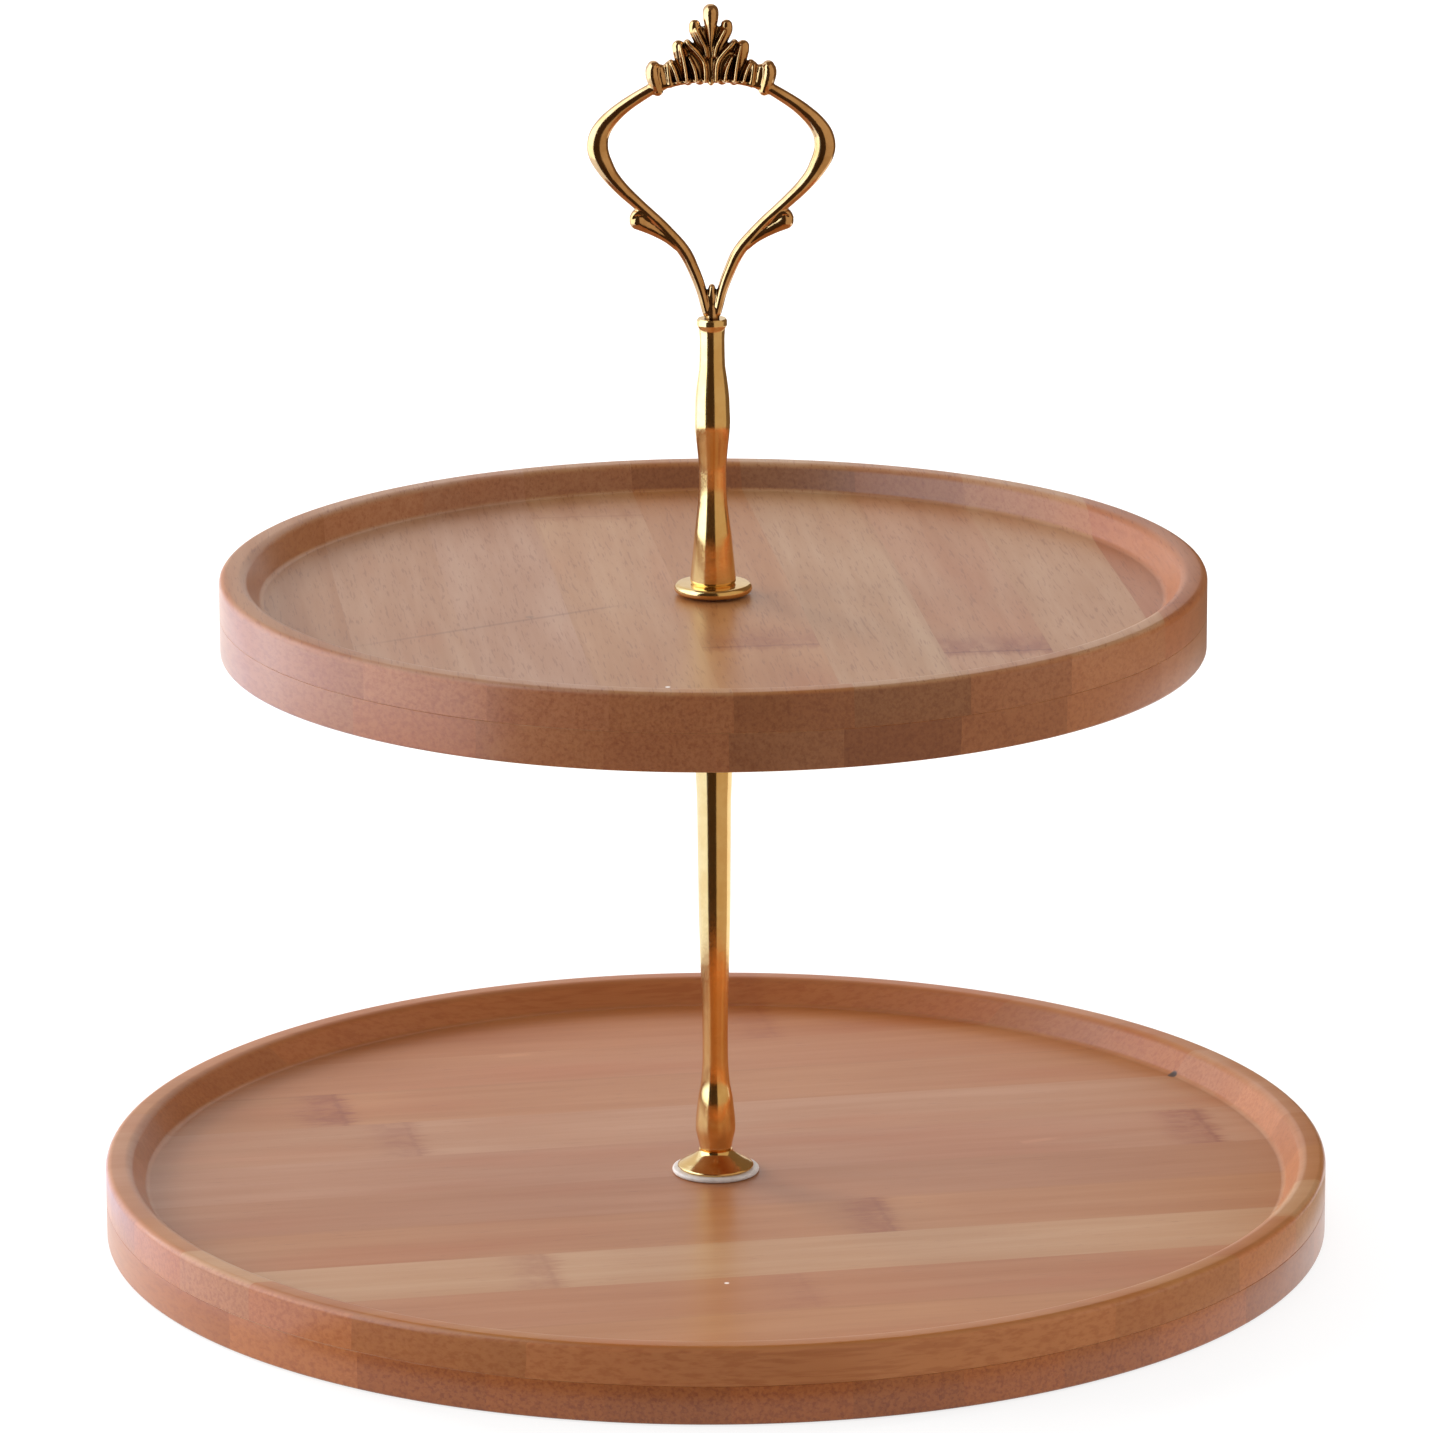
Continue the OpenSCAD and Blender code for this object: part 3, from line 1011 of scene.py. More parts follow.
def darker(strips: tuple[Strip, ...], share: float, turn: int) -> tuple[Strip, ...]:
    """The strips of the ply underneath.

    Args:
        strips: Strips of the ply on top.
        share: How light they are beside those.
        turn: How many strips the colours are moved along.

    Returns:
        Darker strips with edges and rings of their own.
    """
    tones = [s.colour for s in strips]
    tones = [tuple(share * c for c in tones[(i + turn) % len(tones)]) for i in range(len(tones))]
    return tuple(Strip(s.edge - 1.5, t, -s.ring, 0.6 * s.mark, s.wall) for s, t in zip(strips, tones))


UPPER_BAMBOO = BambooFinish(
    "upper_bamboo",
    UPPER_GRAIN_DEG,
    UPPER_STRIPS,
    ticks=0.5,
    tick_level=0.59,
    streaks=0.4,
    marks=(
        SpeckOrShadowDot((-8.8, -73.9, 132.4), 0.6, -0.8),
        # Painted shadow: a dark dot where the shadow of the post's bulge falls on the upper floor
        SpeckOrShadowDot((-36.6, -18.3, 132.4), 1.1, 0.3),
        # Painted shadow: a thin dark line where the post's faint shadow falls across the upper floor
        CreaseOrShadowLine((-17.0, -8.0, 132.4), 212.0, 72.0, 0.9, 0.5),
    ),
)
UPPER_BAMBOO_BELOW = BambooFinish(
    "upper_bamboo_below",
    UPPER_GRAIN_DEG,
    darker(UPPER_STRIPS, 0.98, 3),
    ticks=0.5,
    tick_level=0.62,
    streaks=0.5,
)
LOWER_BAMBOO = BambooFinish(
    "lower_bamboo",
    10.6,
    LOWER_STRIPS,
    ticks=0.4,
    tick_level=0.68,
    streaks=0.35,
    ring_run=12.0,
    ring_line=0.3,
    marks=(
        SpeckOrShadowDot((97.4, 63.6, 10.6), 1.3, 0.95),
        SpeckOrShadowDot((2.1, -71.3, 10.3), 0.6, -0.8),
        CreaseOrShadowLine((63.0, 17.5, 10.3), 22.0, 10.0, 1.3, -0.5),
        CreaseOrShadowLine((-47.0, 79.0, 10.3), 15.0, 9.0, 1.2, -0.4),
    ),
    side_tone=(174, 120, 80),
    side_share=0.5,
)
LOWER_BAMBOO_BELOW = BambooFinish(
    "lower_bamboo_below",
    100.6,
    darker(LOWER_STRIPS, 0.95, 4) + (CORNER_STRIP,),
    ticks=0.4,
    tick_level=0.64,
    streaks=0.4,
    ring_run=12.0,
    ring_line=0.3,
    end_marks=0.5,
    side_tone=(160, 98, 48),
    side_share=0.8,
)
POLISHED_GOLD = MetalFinish(
    "polished_gold", (0.93, 0.64, 0.28), (0.87, 0.56, 0.22), (0.11, 0.2), ripple=0.02
)
ANTIQUE_GOLD = MetalFinish(
    "antique_gold", (0.78, 0.47, 0.22), (0.6, 0.33, 0.13), (0.1, 0.2), hollow_shade=0.97, reach=1.1, ripple=0.02
)
ZINC_STEEL = MetalFinish("zinc_steel", (0.62, 0.62, 0.63), (0.5, 0.5, 0.52), (0.25, 0.4), hollow_shade=0.3)
MILKY_GASKET = SoftFinish("milky_gasket", (0.62, 0.58, 0.55), 0.35)


class Dresser:
    """Makes each finish once and puts it on pieces and CAD nodes."""

    def __init__(self) -> None:
        """Starts with no material made."""
        self.made: dict[str, bpy.types.Material] = {}

    def paint(self, piece: Thing, finish: Finish) -> None:
        """Puts a finish on an object, and makes it where it is new.

        Args:
            piece: The object.
            finish: Finish to put on it.
        """
        if finish.name not in self.made:
            self.made[finish.name] = finish.material()
        piece.data.materials.clear()
        piece.data.materials.append(self.made[finish.name])

    def dress(self, piece: Thing, finish: Finish, slot: Slot, body: Body, *nodes: str) -> None:
        """Gives a new piece its finish, its body and the CAD nodes it stands for.

        Args:
            piece: The new piece.
            finish: Finish to put on it.
            slot: Slot of the record that the finish belongs to; not used.
            body: CAD body that the piece moves with.
            *nodes: CAD nodes that the piece stands for.
        """
        self.paint(piece, finish)
        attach(piece, body.value)
        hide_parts(*nodes)
        log.info("%s rides on %s in %s", piece.name, body.value, finish.name)

    def dress_node(self, node: str, finish: Finish) -> None:
        """Gives a CAD node that stays in view a finish of its own."""
        self.paint(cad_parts[node], finish)
        log.info("%s stays as it is, in %s", node, finish.name)


def base_z(node: str) -> float:
    """Height of a CAD node's underside, in millimetres."""
    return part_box(node)[0].z / MM


def top_z(node: str) -> float:
    """Height of a CAD node's top, in millimetres."""
    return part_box(node)[1].z / MM


def outer_r(node: str) -> float:
    """Radius that a round CAD node's box leaves on all four sides, in millimetres."""
    low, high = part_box(node)
    return min(-low.x, -low.y, high.x, high.y) / MM


# ---------------------------------------------------------------------- trays


@dataclass
class BambooTray:
    """Round tray of two plies, with a routed recess.

    Attributes:
        name: Start of its nodes' names, lower_tray or upper_tray.
        body: CAD body that it moves with.
        top_finish: Finish of the ply with the recess.
        below_finish: Finish of the ply underneath.
        pocket_r: Radius of the pocket underneath, or 0 for none.
        pocket_depth: Depth of that pocket.
        pocket_chamfer: Chamfer of its edge.
        recess_depth: Depth of the recess that holds the food.
        rim_w: Width of the rim round the recess.
        wall_run: How far the recess's wall slants inwards.
        lip_r: Radius of the rim's inner edge.
        cove_r: Radius of the recess's inside corner.
        edge_r: Radius of the rim's outer edge.
        base_edge_r: Radius of the edge underneath.
        hole_r: Radius of the thread's hole.
        seam: Chamfer of the two plies along their glue line.
        segments: How many steps go round the axis.
    """

    name: str
    body: Body
    top_finish: BambooFinish
    below_finish: BambooFinish
    pocket_r: float = 0.0
    pocket_depth: float = 5.5
    pocket_chamfer: float = 0.3
    recess_depth: float = 5.3
    rim_w: float = 5.0
    wall_run: float = 3.3
    lip_r: float = 2.4
    cove_r: float = 1.5
    edge_r: float = 1.4
    base_edge_r: float = 0.6
    hole_r: float = 2.3
    seam: float = 0.08
    segments: int = 256

    def top_outline(self, radius: float, ply: float) -> list[Point]:
        """Outline of the upper ply.

        Args:
            radius: Outer radius of the tray.
            ply: Thickness of a ply.

        Returns:
            Radii and heights over the tray's underside.
        """
        rim, floor = 2 * ply, 2 * ply - self.recess_depth
        top_x = radius - self.rim_w
        floor_x = top_x - self.wall_run
        slant = math.degrees(math.atan2(self.recess_depth, self.wall_run))
        half = math.tan(math.radians(slant / 2))
        cove = (floor_x - self.cove_r * half, floor + self.cove_r)
        lip = (top_x + self.lip_r * half, rim - self.lip_r)
        return (
            [(self.hole_r, ply), (self.hole_r, floor), (0.35 * radius, floor), (0.7 * radius, floor)]
            + arc(cove, self.cove_r, -90, slant - 90, 8)
            + arc(lip, self.lip_r, 90 + slant, 90, 10)
            + arc((radius - self.edge_r, rim - self.edge_r), self.edge_r, 90, 0, 8)
            + [(radius, ply + self.seam), (radius - self.seam, ply)]
        )

    def below_outline(self, radius: float, ply: float) -> list[Point]:
        """Outline of the lower ply, with the pocket where there is one.

        Args:
            radius: Outer radius of the tray.
            ply: Thickness of a ply.

        Returns:
            Radii and heights over the tray's underside.
        """
        edge = arc((radius - self.base_edge_r, self.base_edge_r), self.base_edge_r, 0, -90, 6)
        outline = [(self.hole_r, ply), (radius - self.seam, ply), (radius, ply - self.seam)] + edge
        if self.pocket_r == 0:
            return outline + [(self.hole_r, 0.0)]
        return outline + [
            (self.pocket_r + self.pocket_chamfer, 0.0),
            (self.pocket_r, self.pocket_chamfer),
            (self.pocket_r, self.pocket_depth),
            (self.hole_r, self.pocket_depth),
        ]

    def build(self, dresser: Dresser) -> None:
        """Builds both plies in the CAD nodes' places and dresses them.

        Args:
            dresser: What puts the finishes on.
        """
        top_node, below_node = f"{self.name}_top_ply", f"{self.name}_bottom_ply"
        radius, ground = outer_r(top_node), base_z(below_node)
        ply = (top_z(top_node) - ground) / 2
        for label, node, finish, slot, outline in (
            ("top", top_node, self.top_finish, Slot.BAMBOO, self.top_outline(radius, ply)),
            ("below", below_node, self.below_finish, Slot.BAMBOO_DARK, self.below_outline(radius, ply)),
        ):
            piece = lathe(f"{self.name}_{label}", [(r, z + ground) for r, z in outline], self.segments)
            dresser.dress(piece, finish, slot, self.body, node)


# ------------------------------------------------------------------- hardware


@dataclass
class ClampStack:
    """Turned posts, flanges and gaskets that clamp the trays.

    Attributes:
        lower_post: Heights over the lower post's foot, and diameters.
        upper_post: Heights over the upper post's foot, and diameters.
        bell: Heights over the bell flange's underside, and diameters.
        bore: Radius and depth of the tapped bores.
        stud_bore: Radius and depth of the tapped bore in the lower post's top.
        socket: Radius and depth of the socket that takes the handle's tang.
        pass_r: Radius of the holes that the thread passes through.
        pad_inset: How far the pad under the upper flange stays behind its edge.
        gasket_round: Share of a gasket's thickness that its rim is rounded over.
        segments: How many steps go round the axis.
    """

    lower_post: tuple[Point, ...] = (
        (0.0, 5.9),
        (0.25, 6.4),
        (1.6, 7.0),
        (4.8, 8.2),
        (10.2, 7.3),
        (14.9, 5.8),
        (19.5, 5.25),
        (24.5, 5.2),
        (41.0, 6.0),
        (51.0, 6.5),
        (60.0, 6.7),
        (67.0, 6.85),
        (74.0, 7.0),
        (79.0, 7.4),
        (92.0, 8.2),
        (103.2, 8.8),
        (104.0, 8.3),
    )
    upper_post: tuple[Point, ...] = (
        (0.0, 8.8),
        (0.5, 9.2),
        (2.6, 8.9),
        (5.7, 8.3),
        (9.9, 7.5),
        (12.2, 6.9),
        (16.2, 6.0),
        (20.2, 5.55),
        (23.2, 5.5),
        (27.8, 6.2),
        (30.2, 6.75),
        (33.2, 7.2),
        (35.6, 7.05),
        (37.8, 6.9),
        (40.1, 6.5),
        (42.6, 5.85),
        (45.2, 5.2),
        (50.0, 5.05),
        (52.2, 5.3),
        (53.2, 6.1),
        (54.0, 6.05),
        (54.4, 5.6),
    )
    bell: tuple[Point, ...] = ((0.0, 15.1), (0.4, 15.6), (1.2, 13.6), (2.3, 9.8), (3.3, 7.3), (3.8, 6.8))
    bore: Point = (2.04, 9.5)
    stud_bore: Point = (2.04, 10.0)
    socket: Point = (1.54, 9.0)
    pass_r: float = 2.3
    pad_inset: float = 2.0
    gasket_round: float = 0.9
    segments: int = 96

    def bored(self, stations: tuple[Point, ...], above: Point) -> list[Point]:
        """Outline of a post with a blind bore at each end.

        Args:
            stations: Heights and diameters of the post.
            above: Radius and depth of the bore in its top.

        Returns:
            Radii and heights over its foot, from the axis and back to it.
        """
        top = stations[-1][0]
        radius, depth = self.bore
        return (
            [(0.0, depth), (radius, depth), (radius, 0.0)]
            + turned_line(stations)
            + [(above[0], top), (above[0], top - above[1]), (0.0, top - above[1])]
        )

    def pierced(self, line: list[Point]) -> list[Point]:
        """Outline of a flange or gasket with the thread's hole in it."""
        return [(self.pass_r, 0.0)] + line + [(self.pass_r, line[-1][1])]

    def disc(self, node: str, round_share: float, inset: float = 0.0) -> list[Point]:
        """Outline of a flat round piece in a CAD node's place.

        Args:
            node: The CAD node.
            round_share: Share of its thickness that its rim is rounded over.
            inset: How far it stays behind the node's edge.

        Returns:
            Radii and heights over its underside.
        """
        thick = top_z(node) - base_z(node)
        radius, r = outer_r(node) - inset, round_share * thick / 2
        rim = arc((radius - r, r), r, -90, 0, 6) + arc((radius - r, thick - r), r, 0, 90, 6)
        return self.pierced(rim)

    def turned(self, name: str, node: str, outline: list[Point]) -> Thing:
        """Turns a piece whose outline's heights count from a CAD node's underside."""
        foot_z = base_z(node)
        return lathe(name, [(r, z + foot_z) for r, z in outline], self.segments)

    def build(self, dresser: Dresser) -> None:
        """Builds and dresses the posts, flanges and gaskets.

        Args:
            dresser: What puts the finishes on.
        """
        for name, node, body, outline in (
            ("turned_lower_post", "lower_post", Body.LOWER_POST, self.bored(self.lower_post, self.stud_bore)),
            ("turned_upper_post", "upper_post", Body.UPPER_POST, self.bored(self.upper_post, self.socket)),
            ("bell_foot", "bell_flange", Body.LOWER_POST, self.pierced(turned_line(self.bell))),
            ("flange_over_tray", "upper_flange", Body.UPPER_FLANGE, self.disc("upper_flange", 1.0)),
            ("flange_under_tray", "under_flange", Body.LOWER_POST, self.disc("under_flange", 1.0)),
        ):
            dresser.dress(self.turned(name, node, outline), POLISHED_GOLD, Slot.GOLD, body, node)
        for name, node, body, inset in (
            ("gasket_on_lower_floor", "lower_top_gasket", Body.LOWER_TRAY, 0.0),
            ("gasket_under_upper_tray", "upper_bottom_gasket", Body.LOWER_POST, 0.0),
            ("pad_under_flange", "upper_top_gasket", Body.UPPER_FLANGE, self.pad_inset),
            ("gasket_in_pocket", "lower_bottom_gasket", Body.LOWER_TRAY, 0.0),
        ):
            piece = self.turned(name, node, self.disc(node, self.gasket_round, inset))
            dresser.dress(piece, MILKY_GASKET, Slot.GASKET, body, node)
        for node in ("tie_stud", "bottom_washer", "bottom_screw"):
            dresser.dress_node(node, ZINC_STEEL)


# --------------------------------------------------------------------- handle

Bar = tuple[tuple[float, float, float, float], ...]


@dataclass(frozen=True)
class Strand:
    """Tapered bar of the casting.

    Attributes:
        points: Each x, height over the collar, width across and depth front to
            back, in millimetres.
        paired: Whether the mirrored half has one too.
        around: Vertices in each ring.
        cap: Rings in each round end.
    """

    points: Bar
    paired: bool = True
    around: int = 20
    cap: int = 4

    def line(self) -> np.ndarray:
        """Eased curve through the points.

        Returns:
            All four values at each step along it.
        """
        p = np.array(self.points, float)
        padded = np.vstack([2 * p[0] - p[1], p, 2 * p[-1] - p[-2]])
        line = []
        for i in range(len(p) - 1):
            a, b, c, d = padded[i : i + 4]
            square, cube = 2 * a - 5 * b + 4 * c - d, 3 * b - a - 3 * c + d
            for k in range(CURVE_STEPS):
                t = k / CURVE_STEPS
                line.append(0.5 * (2 * b + (c - a) * t + square * t**2 + cube * t**3))
        line.append(p[-1])
        return np.array(line)

    def solid(self, side: int, base: int) -> tuple[list, list]:
        """Closed bar with round ends.

        Args:
            side: 1, or -1 for the mirrored half.
            base: Number of its first vertex.

        Returns:
            Vertices in millimetres, and faces.
        """
        line = self.line()
        run = np.gradient(line[:, :2], axis=0)
        run /= np.linalg.norm(run, axis=1)[:, None]
        ends = [k / (self.cap + 0.35) for k in range(1, self.cap + 1)]
        rings = [(line[0], run[0], -end) for end in reversed(ends)]
        rings += [(p, r, 0.0) for p, r in zip(line, run)]
        rings += [(line[-1], run[-1], end) for end in ends]
        turns = np.arange(self.around) * 2 * math.pi / self.around
        points = []
        for p, r, end in rings:
            shrink = math.cos(end * math.pi / 2)
            centre = p[:2] + r * math.sin(end * math.pi / 2) * p[2] / 2
            out = np.array([-r[1], r[0]])
            for a in turns:
                flat = centre + out * math.cos(a) * p[2] / 2 * shrink
                points.append((side * flat[0], math.sin(a) * p[3] / 2 * shrink, flat[1]))
        faces = []
        for i in range(len(rings) - 1):
            for k in range(self.around):
                n = (k + 1) % self.around
                one, two = base + i * self.around, base + (i + 1) * self.around
                faces.append([one + k, one + n, two + n, two + k][::side])
        last = base + (len(rings) - 1) * self.around
        faces.append([base + k for k in range(self.around)][::-side])
        faces.append([last + k for k in range(self.around)][::side])
        return points, faces


@dataclass
class CrownHandle:
    """Cast carrying ring with side curls and a crown of petals.

    Attributes:
        height: Height of the casting over the collar.
        voxel: Size of the cells that melt its bars together.
        melt: Rounds of smoothing afterwards.
        tang_r: Radius of the tang that is glued into the upper post.
        tang_h: Length of the tang.
        tang_up: How far it reaches up into the casting.
        arm: Half of the ring, down into its leg.
        curl: Curl beside the leg.
        lip: Small lip over the curl.
        web: Short bar where the legs meet.
        leaves: Leaves behind the ridges. Their second number, and that of the
            bars below, is the depth under the tip.
        ridges: Ridges on the palmette.
        scrolls: Rolls and scrolls at its ends.
        middle: Middle petals and the arc under the palmette, which have no mirrored half.
    """

    height: float = 63.6
    voxel: float = 0.14
    melt: int = 8
    tang_r: float = 1.5
    tang_h: float = 9.0
    tang_up: float = 1.6
    arm: Bar = (
        (10.9, 47.0, 2.3, 2.6),
        (13.6, 45.4, 2.5, 2.8),
        (16.6, 43.45, 2.7, 3.0),
        (19.0, 41.5, 3.05, 3.2),
        (20.9, 39.5, 3.5, 3.4),
        (22.2, 37.3, 4.0, 3.6),
        (22.6, 35.1, 4.3, 3.6),
        (22.3, 33.2, 4.2, 3.6),
        (21.5, 31.4, 3.85, 3.5),
        (20.0, 28.9, 3.2, 3.4),
        (17.8, 26.3, 2.8, 3.2),
        (15.3, 23.9, 2.5, 3.0),
        (12.9, 21.7, 2.35, 2.9),
        (10.5, 19.5, 2.3, 2.8),
        (8.2, 17.0, 2.45, 2.8),
        (6.3, 14.8, 2.55, 2.8),
        (4.9, 12.7, 2.55, 2.8),
        (3.75, 10.2, 2.4, 2.8),
        (2.75, 7.7, 2.3, 2.8),
        (1.95, 5.2, 2.1, 2.8),
        (1.4, 2.9, 2.0, 2.8),
        (1.0, 1.2, 1.9, 2.8),
    )
    curl: Bar = (
        (6.9, 14.6, 1.6, 2.4),
        (8.6, 16.2, 2.0, 2.6),
        (10.4, 17.4, 2.3, 2.8),
        (12.2, 18.4, 2.6, 3.0),
        (13.6, 19.2, 3.1, 3.3),
        (14.6, 19.8, 3.6, 3.6),
    )
    lip: Bar = (
        (11.4, 19.3, 1.4, 2.2),
        (12.8, 20.5, 1.8, 2.6),
        (14.2, 21.5, 1.7, 2.9),
        (15.2, 21.4, 1.4, 2.9),
        (15.8, 20.5, 1.2, 2.6),
    )
    web: Bar = ((0.0, 0.8, 2.8, 2.2), (0.0, 3.0, 2.6, 2.0), (0.0, 5.0, 1.9, 1.9), (0.0, 6.3, 1.4, 2.1))
    leaves: tuple[Bar, ...] = (
        (
            (1.3, 10.6, 1.2, 1.3),
            (1.9, 8.6, 1.7, 1.6),
            (2.6, 6.8, 2.2, 2.0),
            (3.1, 5.3, 2.5, 2.3),
            (3.15, 4.4, 2.4, 2.2),
        ),
        ((1.7, 11.6, 1.2, 1.3), (2.9, 10.0, 1.5, 1.4), (4.1, 8.6, 1.5, 1.7), (4.8, 7.7, 1.1, 1.4)),
        (
            (4.6, 15.4, 2.2, 1.4),
            (5.1, 13.2, 2.7, 1.4),
            (5.7, 11.0, 3.0, 1.7),
            (6.2, 9.3, 2.9, 2.4),
            (6.4, 8.6, 2.6, 2.4),
        ),
        ((6.4, 15.6, 1.6, 1.4), (7.2, 13.6, 1.8, 1.7), (7.9, 11.9, 1.5, 1.9)),
        ((7.8, 15.8, 1.4, 1.4), (8.5, 14.0, 1.5, 1.6), (9.0, 12.7, 1.2, 1.7)),
        ((2.2, 15.2, 2.4, 1.2), (2.6, 12.6, 2.6, 1.2), (3.6, 10.4, 2.2, 1.2)),
        ((0.7, 10.4, 1.6, 1.2), (1.1, 8.0, 1.9, 1.2), (1.5, 6.0, 1.7, 1.3), (1.6, 5.2, 1.3, 1.2)),
    )
    ridges: tuple[Bar, ...] = (
        (
            (1.05, 15.4, 1.2, 3.4),
            (1.1, 13.2, 1.3, 3.8),
            (1.4, 11.5, 1.3, 3.7),
            (2.4, 10.0, 1.3, 3.5),
            (3.6, 8.7, 1.25, 3.4),
            (4.6, 7.7, 1.1, 3.0),
        ),
        ((0.8, 10.4, 1.0, 3.0), (1.15, 8.6, 1.15, 3.5), (1.95, 6.9, 1.25, 4.0), (2.8, 5.2, 1.2, 4.0)),
        ((2.8, 15.3, 1.15, 3.6), (3.1, 13.4, 1.1, 3.9), (3.7, 11.8, 0.95, 3.7), (4.3, 10.6, 0.75, 3.2)),
        (
            (4.75, 15.4, 1.15, 3.6),
            (5.0, 13.4, 1.2, 4.1),
            (5.35, 11.2, 1.2, 4.2),
            (5.8, 9.2, 1.1, 4.1),
            (6.0, 8.3, 0.9, 3.6),
        ),
        ((6.5, 15.5, 1.1, 3.4), (7.1, 13.5, 1.2, 3.7), (7.8, 11.9, 1.05, 3.4)),
    )
    scrolls: tuple[Bar, ...] = (
        ((8.0, 16.2, 1.5, 2.6), (8.3, 14.2, 1.6, 3.2), (8.5, 12.3, 1.4, 3.2)),
        ((9.5, 16.2, 2.4, 2.2), (9.9, 14.4, 2.6, 2.8), (10.1, 13.3, 2.4, 2.6)),
        (
            (10.6, 17.4, 2.4, 2.8),
            (11.1, 15.8, 2.9, 3.8),
            (11.5, 14.2, 3.1, 4.3),
            (11.5, 13.2, 3.0, 4.3),
            (11.4, 12.7, 2.6, 3.9),
        ),
    )
    middle: tuple[Bar, ...] = (
        (
            (0.0, 11.5, 1.5, 1.6),
            (0.0, 8.5, 1.3, 2.0),
            (0.0, 6.2, 1.9, 3.2),
            (0.0, 4.4, 2.6, 4.2),
            (0.0, 2.9, 3.2, 4.7),
            (0.0, 1.7, 3.3, 4.4),
        ),
        ((0.0, 14.4, 1.7, 1.7), (0.0, 11.0, 1.6, 1.7)),
        ((0.0, 15.2, 1.4, 2.4), (0.0, 15.9, 1.2, 2.6)),
        (
            (-10.9, 16.7, 1.7, 2.6),
            (-9.0, 16.4, 1.4, 2.4),
            (-6.0, 15.8, 1.2, 2.3),
            (-3.0, 15.4, 1.1, 2.2),
            (0.0, 15.4, 1.2, 2.2),
            (3.0, 15.4, 1.1, 2.2),
            (6.0, 15.8, 1.2, 2.3),
            (9.0, 16.4, 1.4, 2.4),
            (10.9, 16.7, 1.7, 2.6),
        ),
    )

    def strands(self) -> list[Strand]:
        """Gathers the casting's bars.

        Returns:
            The ring and its legs, the palmette and the tang.
        """
        tang_w = 2 * self.tang_r
        tang = ((0.0, self.tang_r - self.tang_h, tang_w, tang_w), (0.0, self.tang_up, tang_w, tang_w))
        made = [Strand(self.arm), Strand(self.curl), Strand(self.lip), Strand(self.web, paired=False)]
        made += [Strand(self.from_top(bar)) for bar in self.leaves + self.ridges + self.scrolls]
        made += [Strand(self.from_top(bar), paired=False) for bar in self.middle]
        return made + [Strand(tang, paired=False)]

    def from_top(self, bar: Bar) -> Bar:
        """Turns a bar's depths below the tip into heights over the collar."""
        return tuple((x, self.height - down, width, depth) for x, down, width, depth in bar)

    def rough_casting(self) -> Thing:
        """Bars that run through each other, in the CAD node's place.

        Returns:
            The object, with the modifiers that melt the bars together.
        """
        points, faces = [], []
        for strand in self.strands():
            for side in (1, -1) if strand.paired else (1,):
                more_points, more_faces = strand.solid(side, len(points))
                points += more_points
                faces += more_faces
        raised = np.array(points)
        raised[:, 2] += top_z("crown_handle") - self.height
        rough = mesh_object("crown_rough", raised, faces, 180)
        melted = rough.modifiers.new("melt", "REMESH")
        melted.mode = "VOXEL"
        melted.voxel_size = self.voxel * MM
        softened = rough.modifiers.new("soften", "SMOOTH")
        softened.factor = 0.5
        softened.iterations = self.melt
        return rough

    def build(self, dresser: Dresser) -> None:
        """Melts the bars into one casting, inside the CAD node's box.

        Args:
            dresser: What puts the finishes on.
        """
        rough = self.rough_casting()
        solved = rough.evaluated_get(bpy.context.evaluated_depsgraph_get())
        mesh = bpy.data.meshes.new_from_object(solved)
        mesh.name = "crown_casting"
        low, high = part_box("crown_handle")
        place = np.zeros(len(mesh.vertices) * 3, np.float32)
        mesh.vertices.foreach_get("co", place)
        place = np.clip(place.reshape(-1, 3), np.array(low), np.array(high))
        mesh.vertices.foreach_set("co", place.ravel())
        mesh.polygons.foreach_set("use_smooth", [True] * len(mesh.polygons))
        bpy.data.objects.remove(rough)
        piece = linked("crown_casting", mesh)
        log.info("the casting has %d faces", len(mesh.polygons))
        dresser.dress(piece, ANTIQUE_GOLD, Slot.ANTIQUE_GOLD, Body.UPPER_POST, "crown_handle")


# --------------------------------------------------------------------- studio


@dataclass(frozen=True)
class Softbox:
    """Area light that looks at the stand, and that shiny pieces don't mirror.

    Attributes:
        name: Name of the light.
        place: Where it stands, in metres.
        size: Width and height, in metres.
        watts: Its power.
        colour: Colour of its light.
        aim: Point that it looks at.
    """

    name: str
    place: tuple[float, float, float]
    size: tuple[float, float]
    watts: float
    colour: Colour = (1.0, 1.0, 1.0)
    aim: tuple[float, float, float] = (0.0, 0.0, 0.12)

    def build(self) -> None:
        """Puts the light in the studio."""
        lamp = bpy.data.lights.new(self.name, "AREA")
        lamp.shape = "RECTANGLE"
        lamp.size, lamp.size_y = self.size
        lamp.energy = self.watts
        lamp.color = self.colour
        holder = linked(self.name, lamp)
        holder.location = self.place
        look = Vector(self.aim) - Vector(self.place)
        holder.rotation_euler = look.to_track_quat("-Z", "Y").to_euler()
        holder.visible_glossy = False


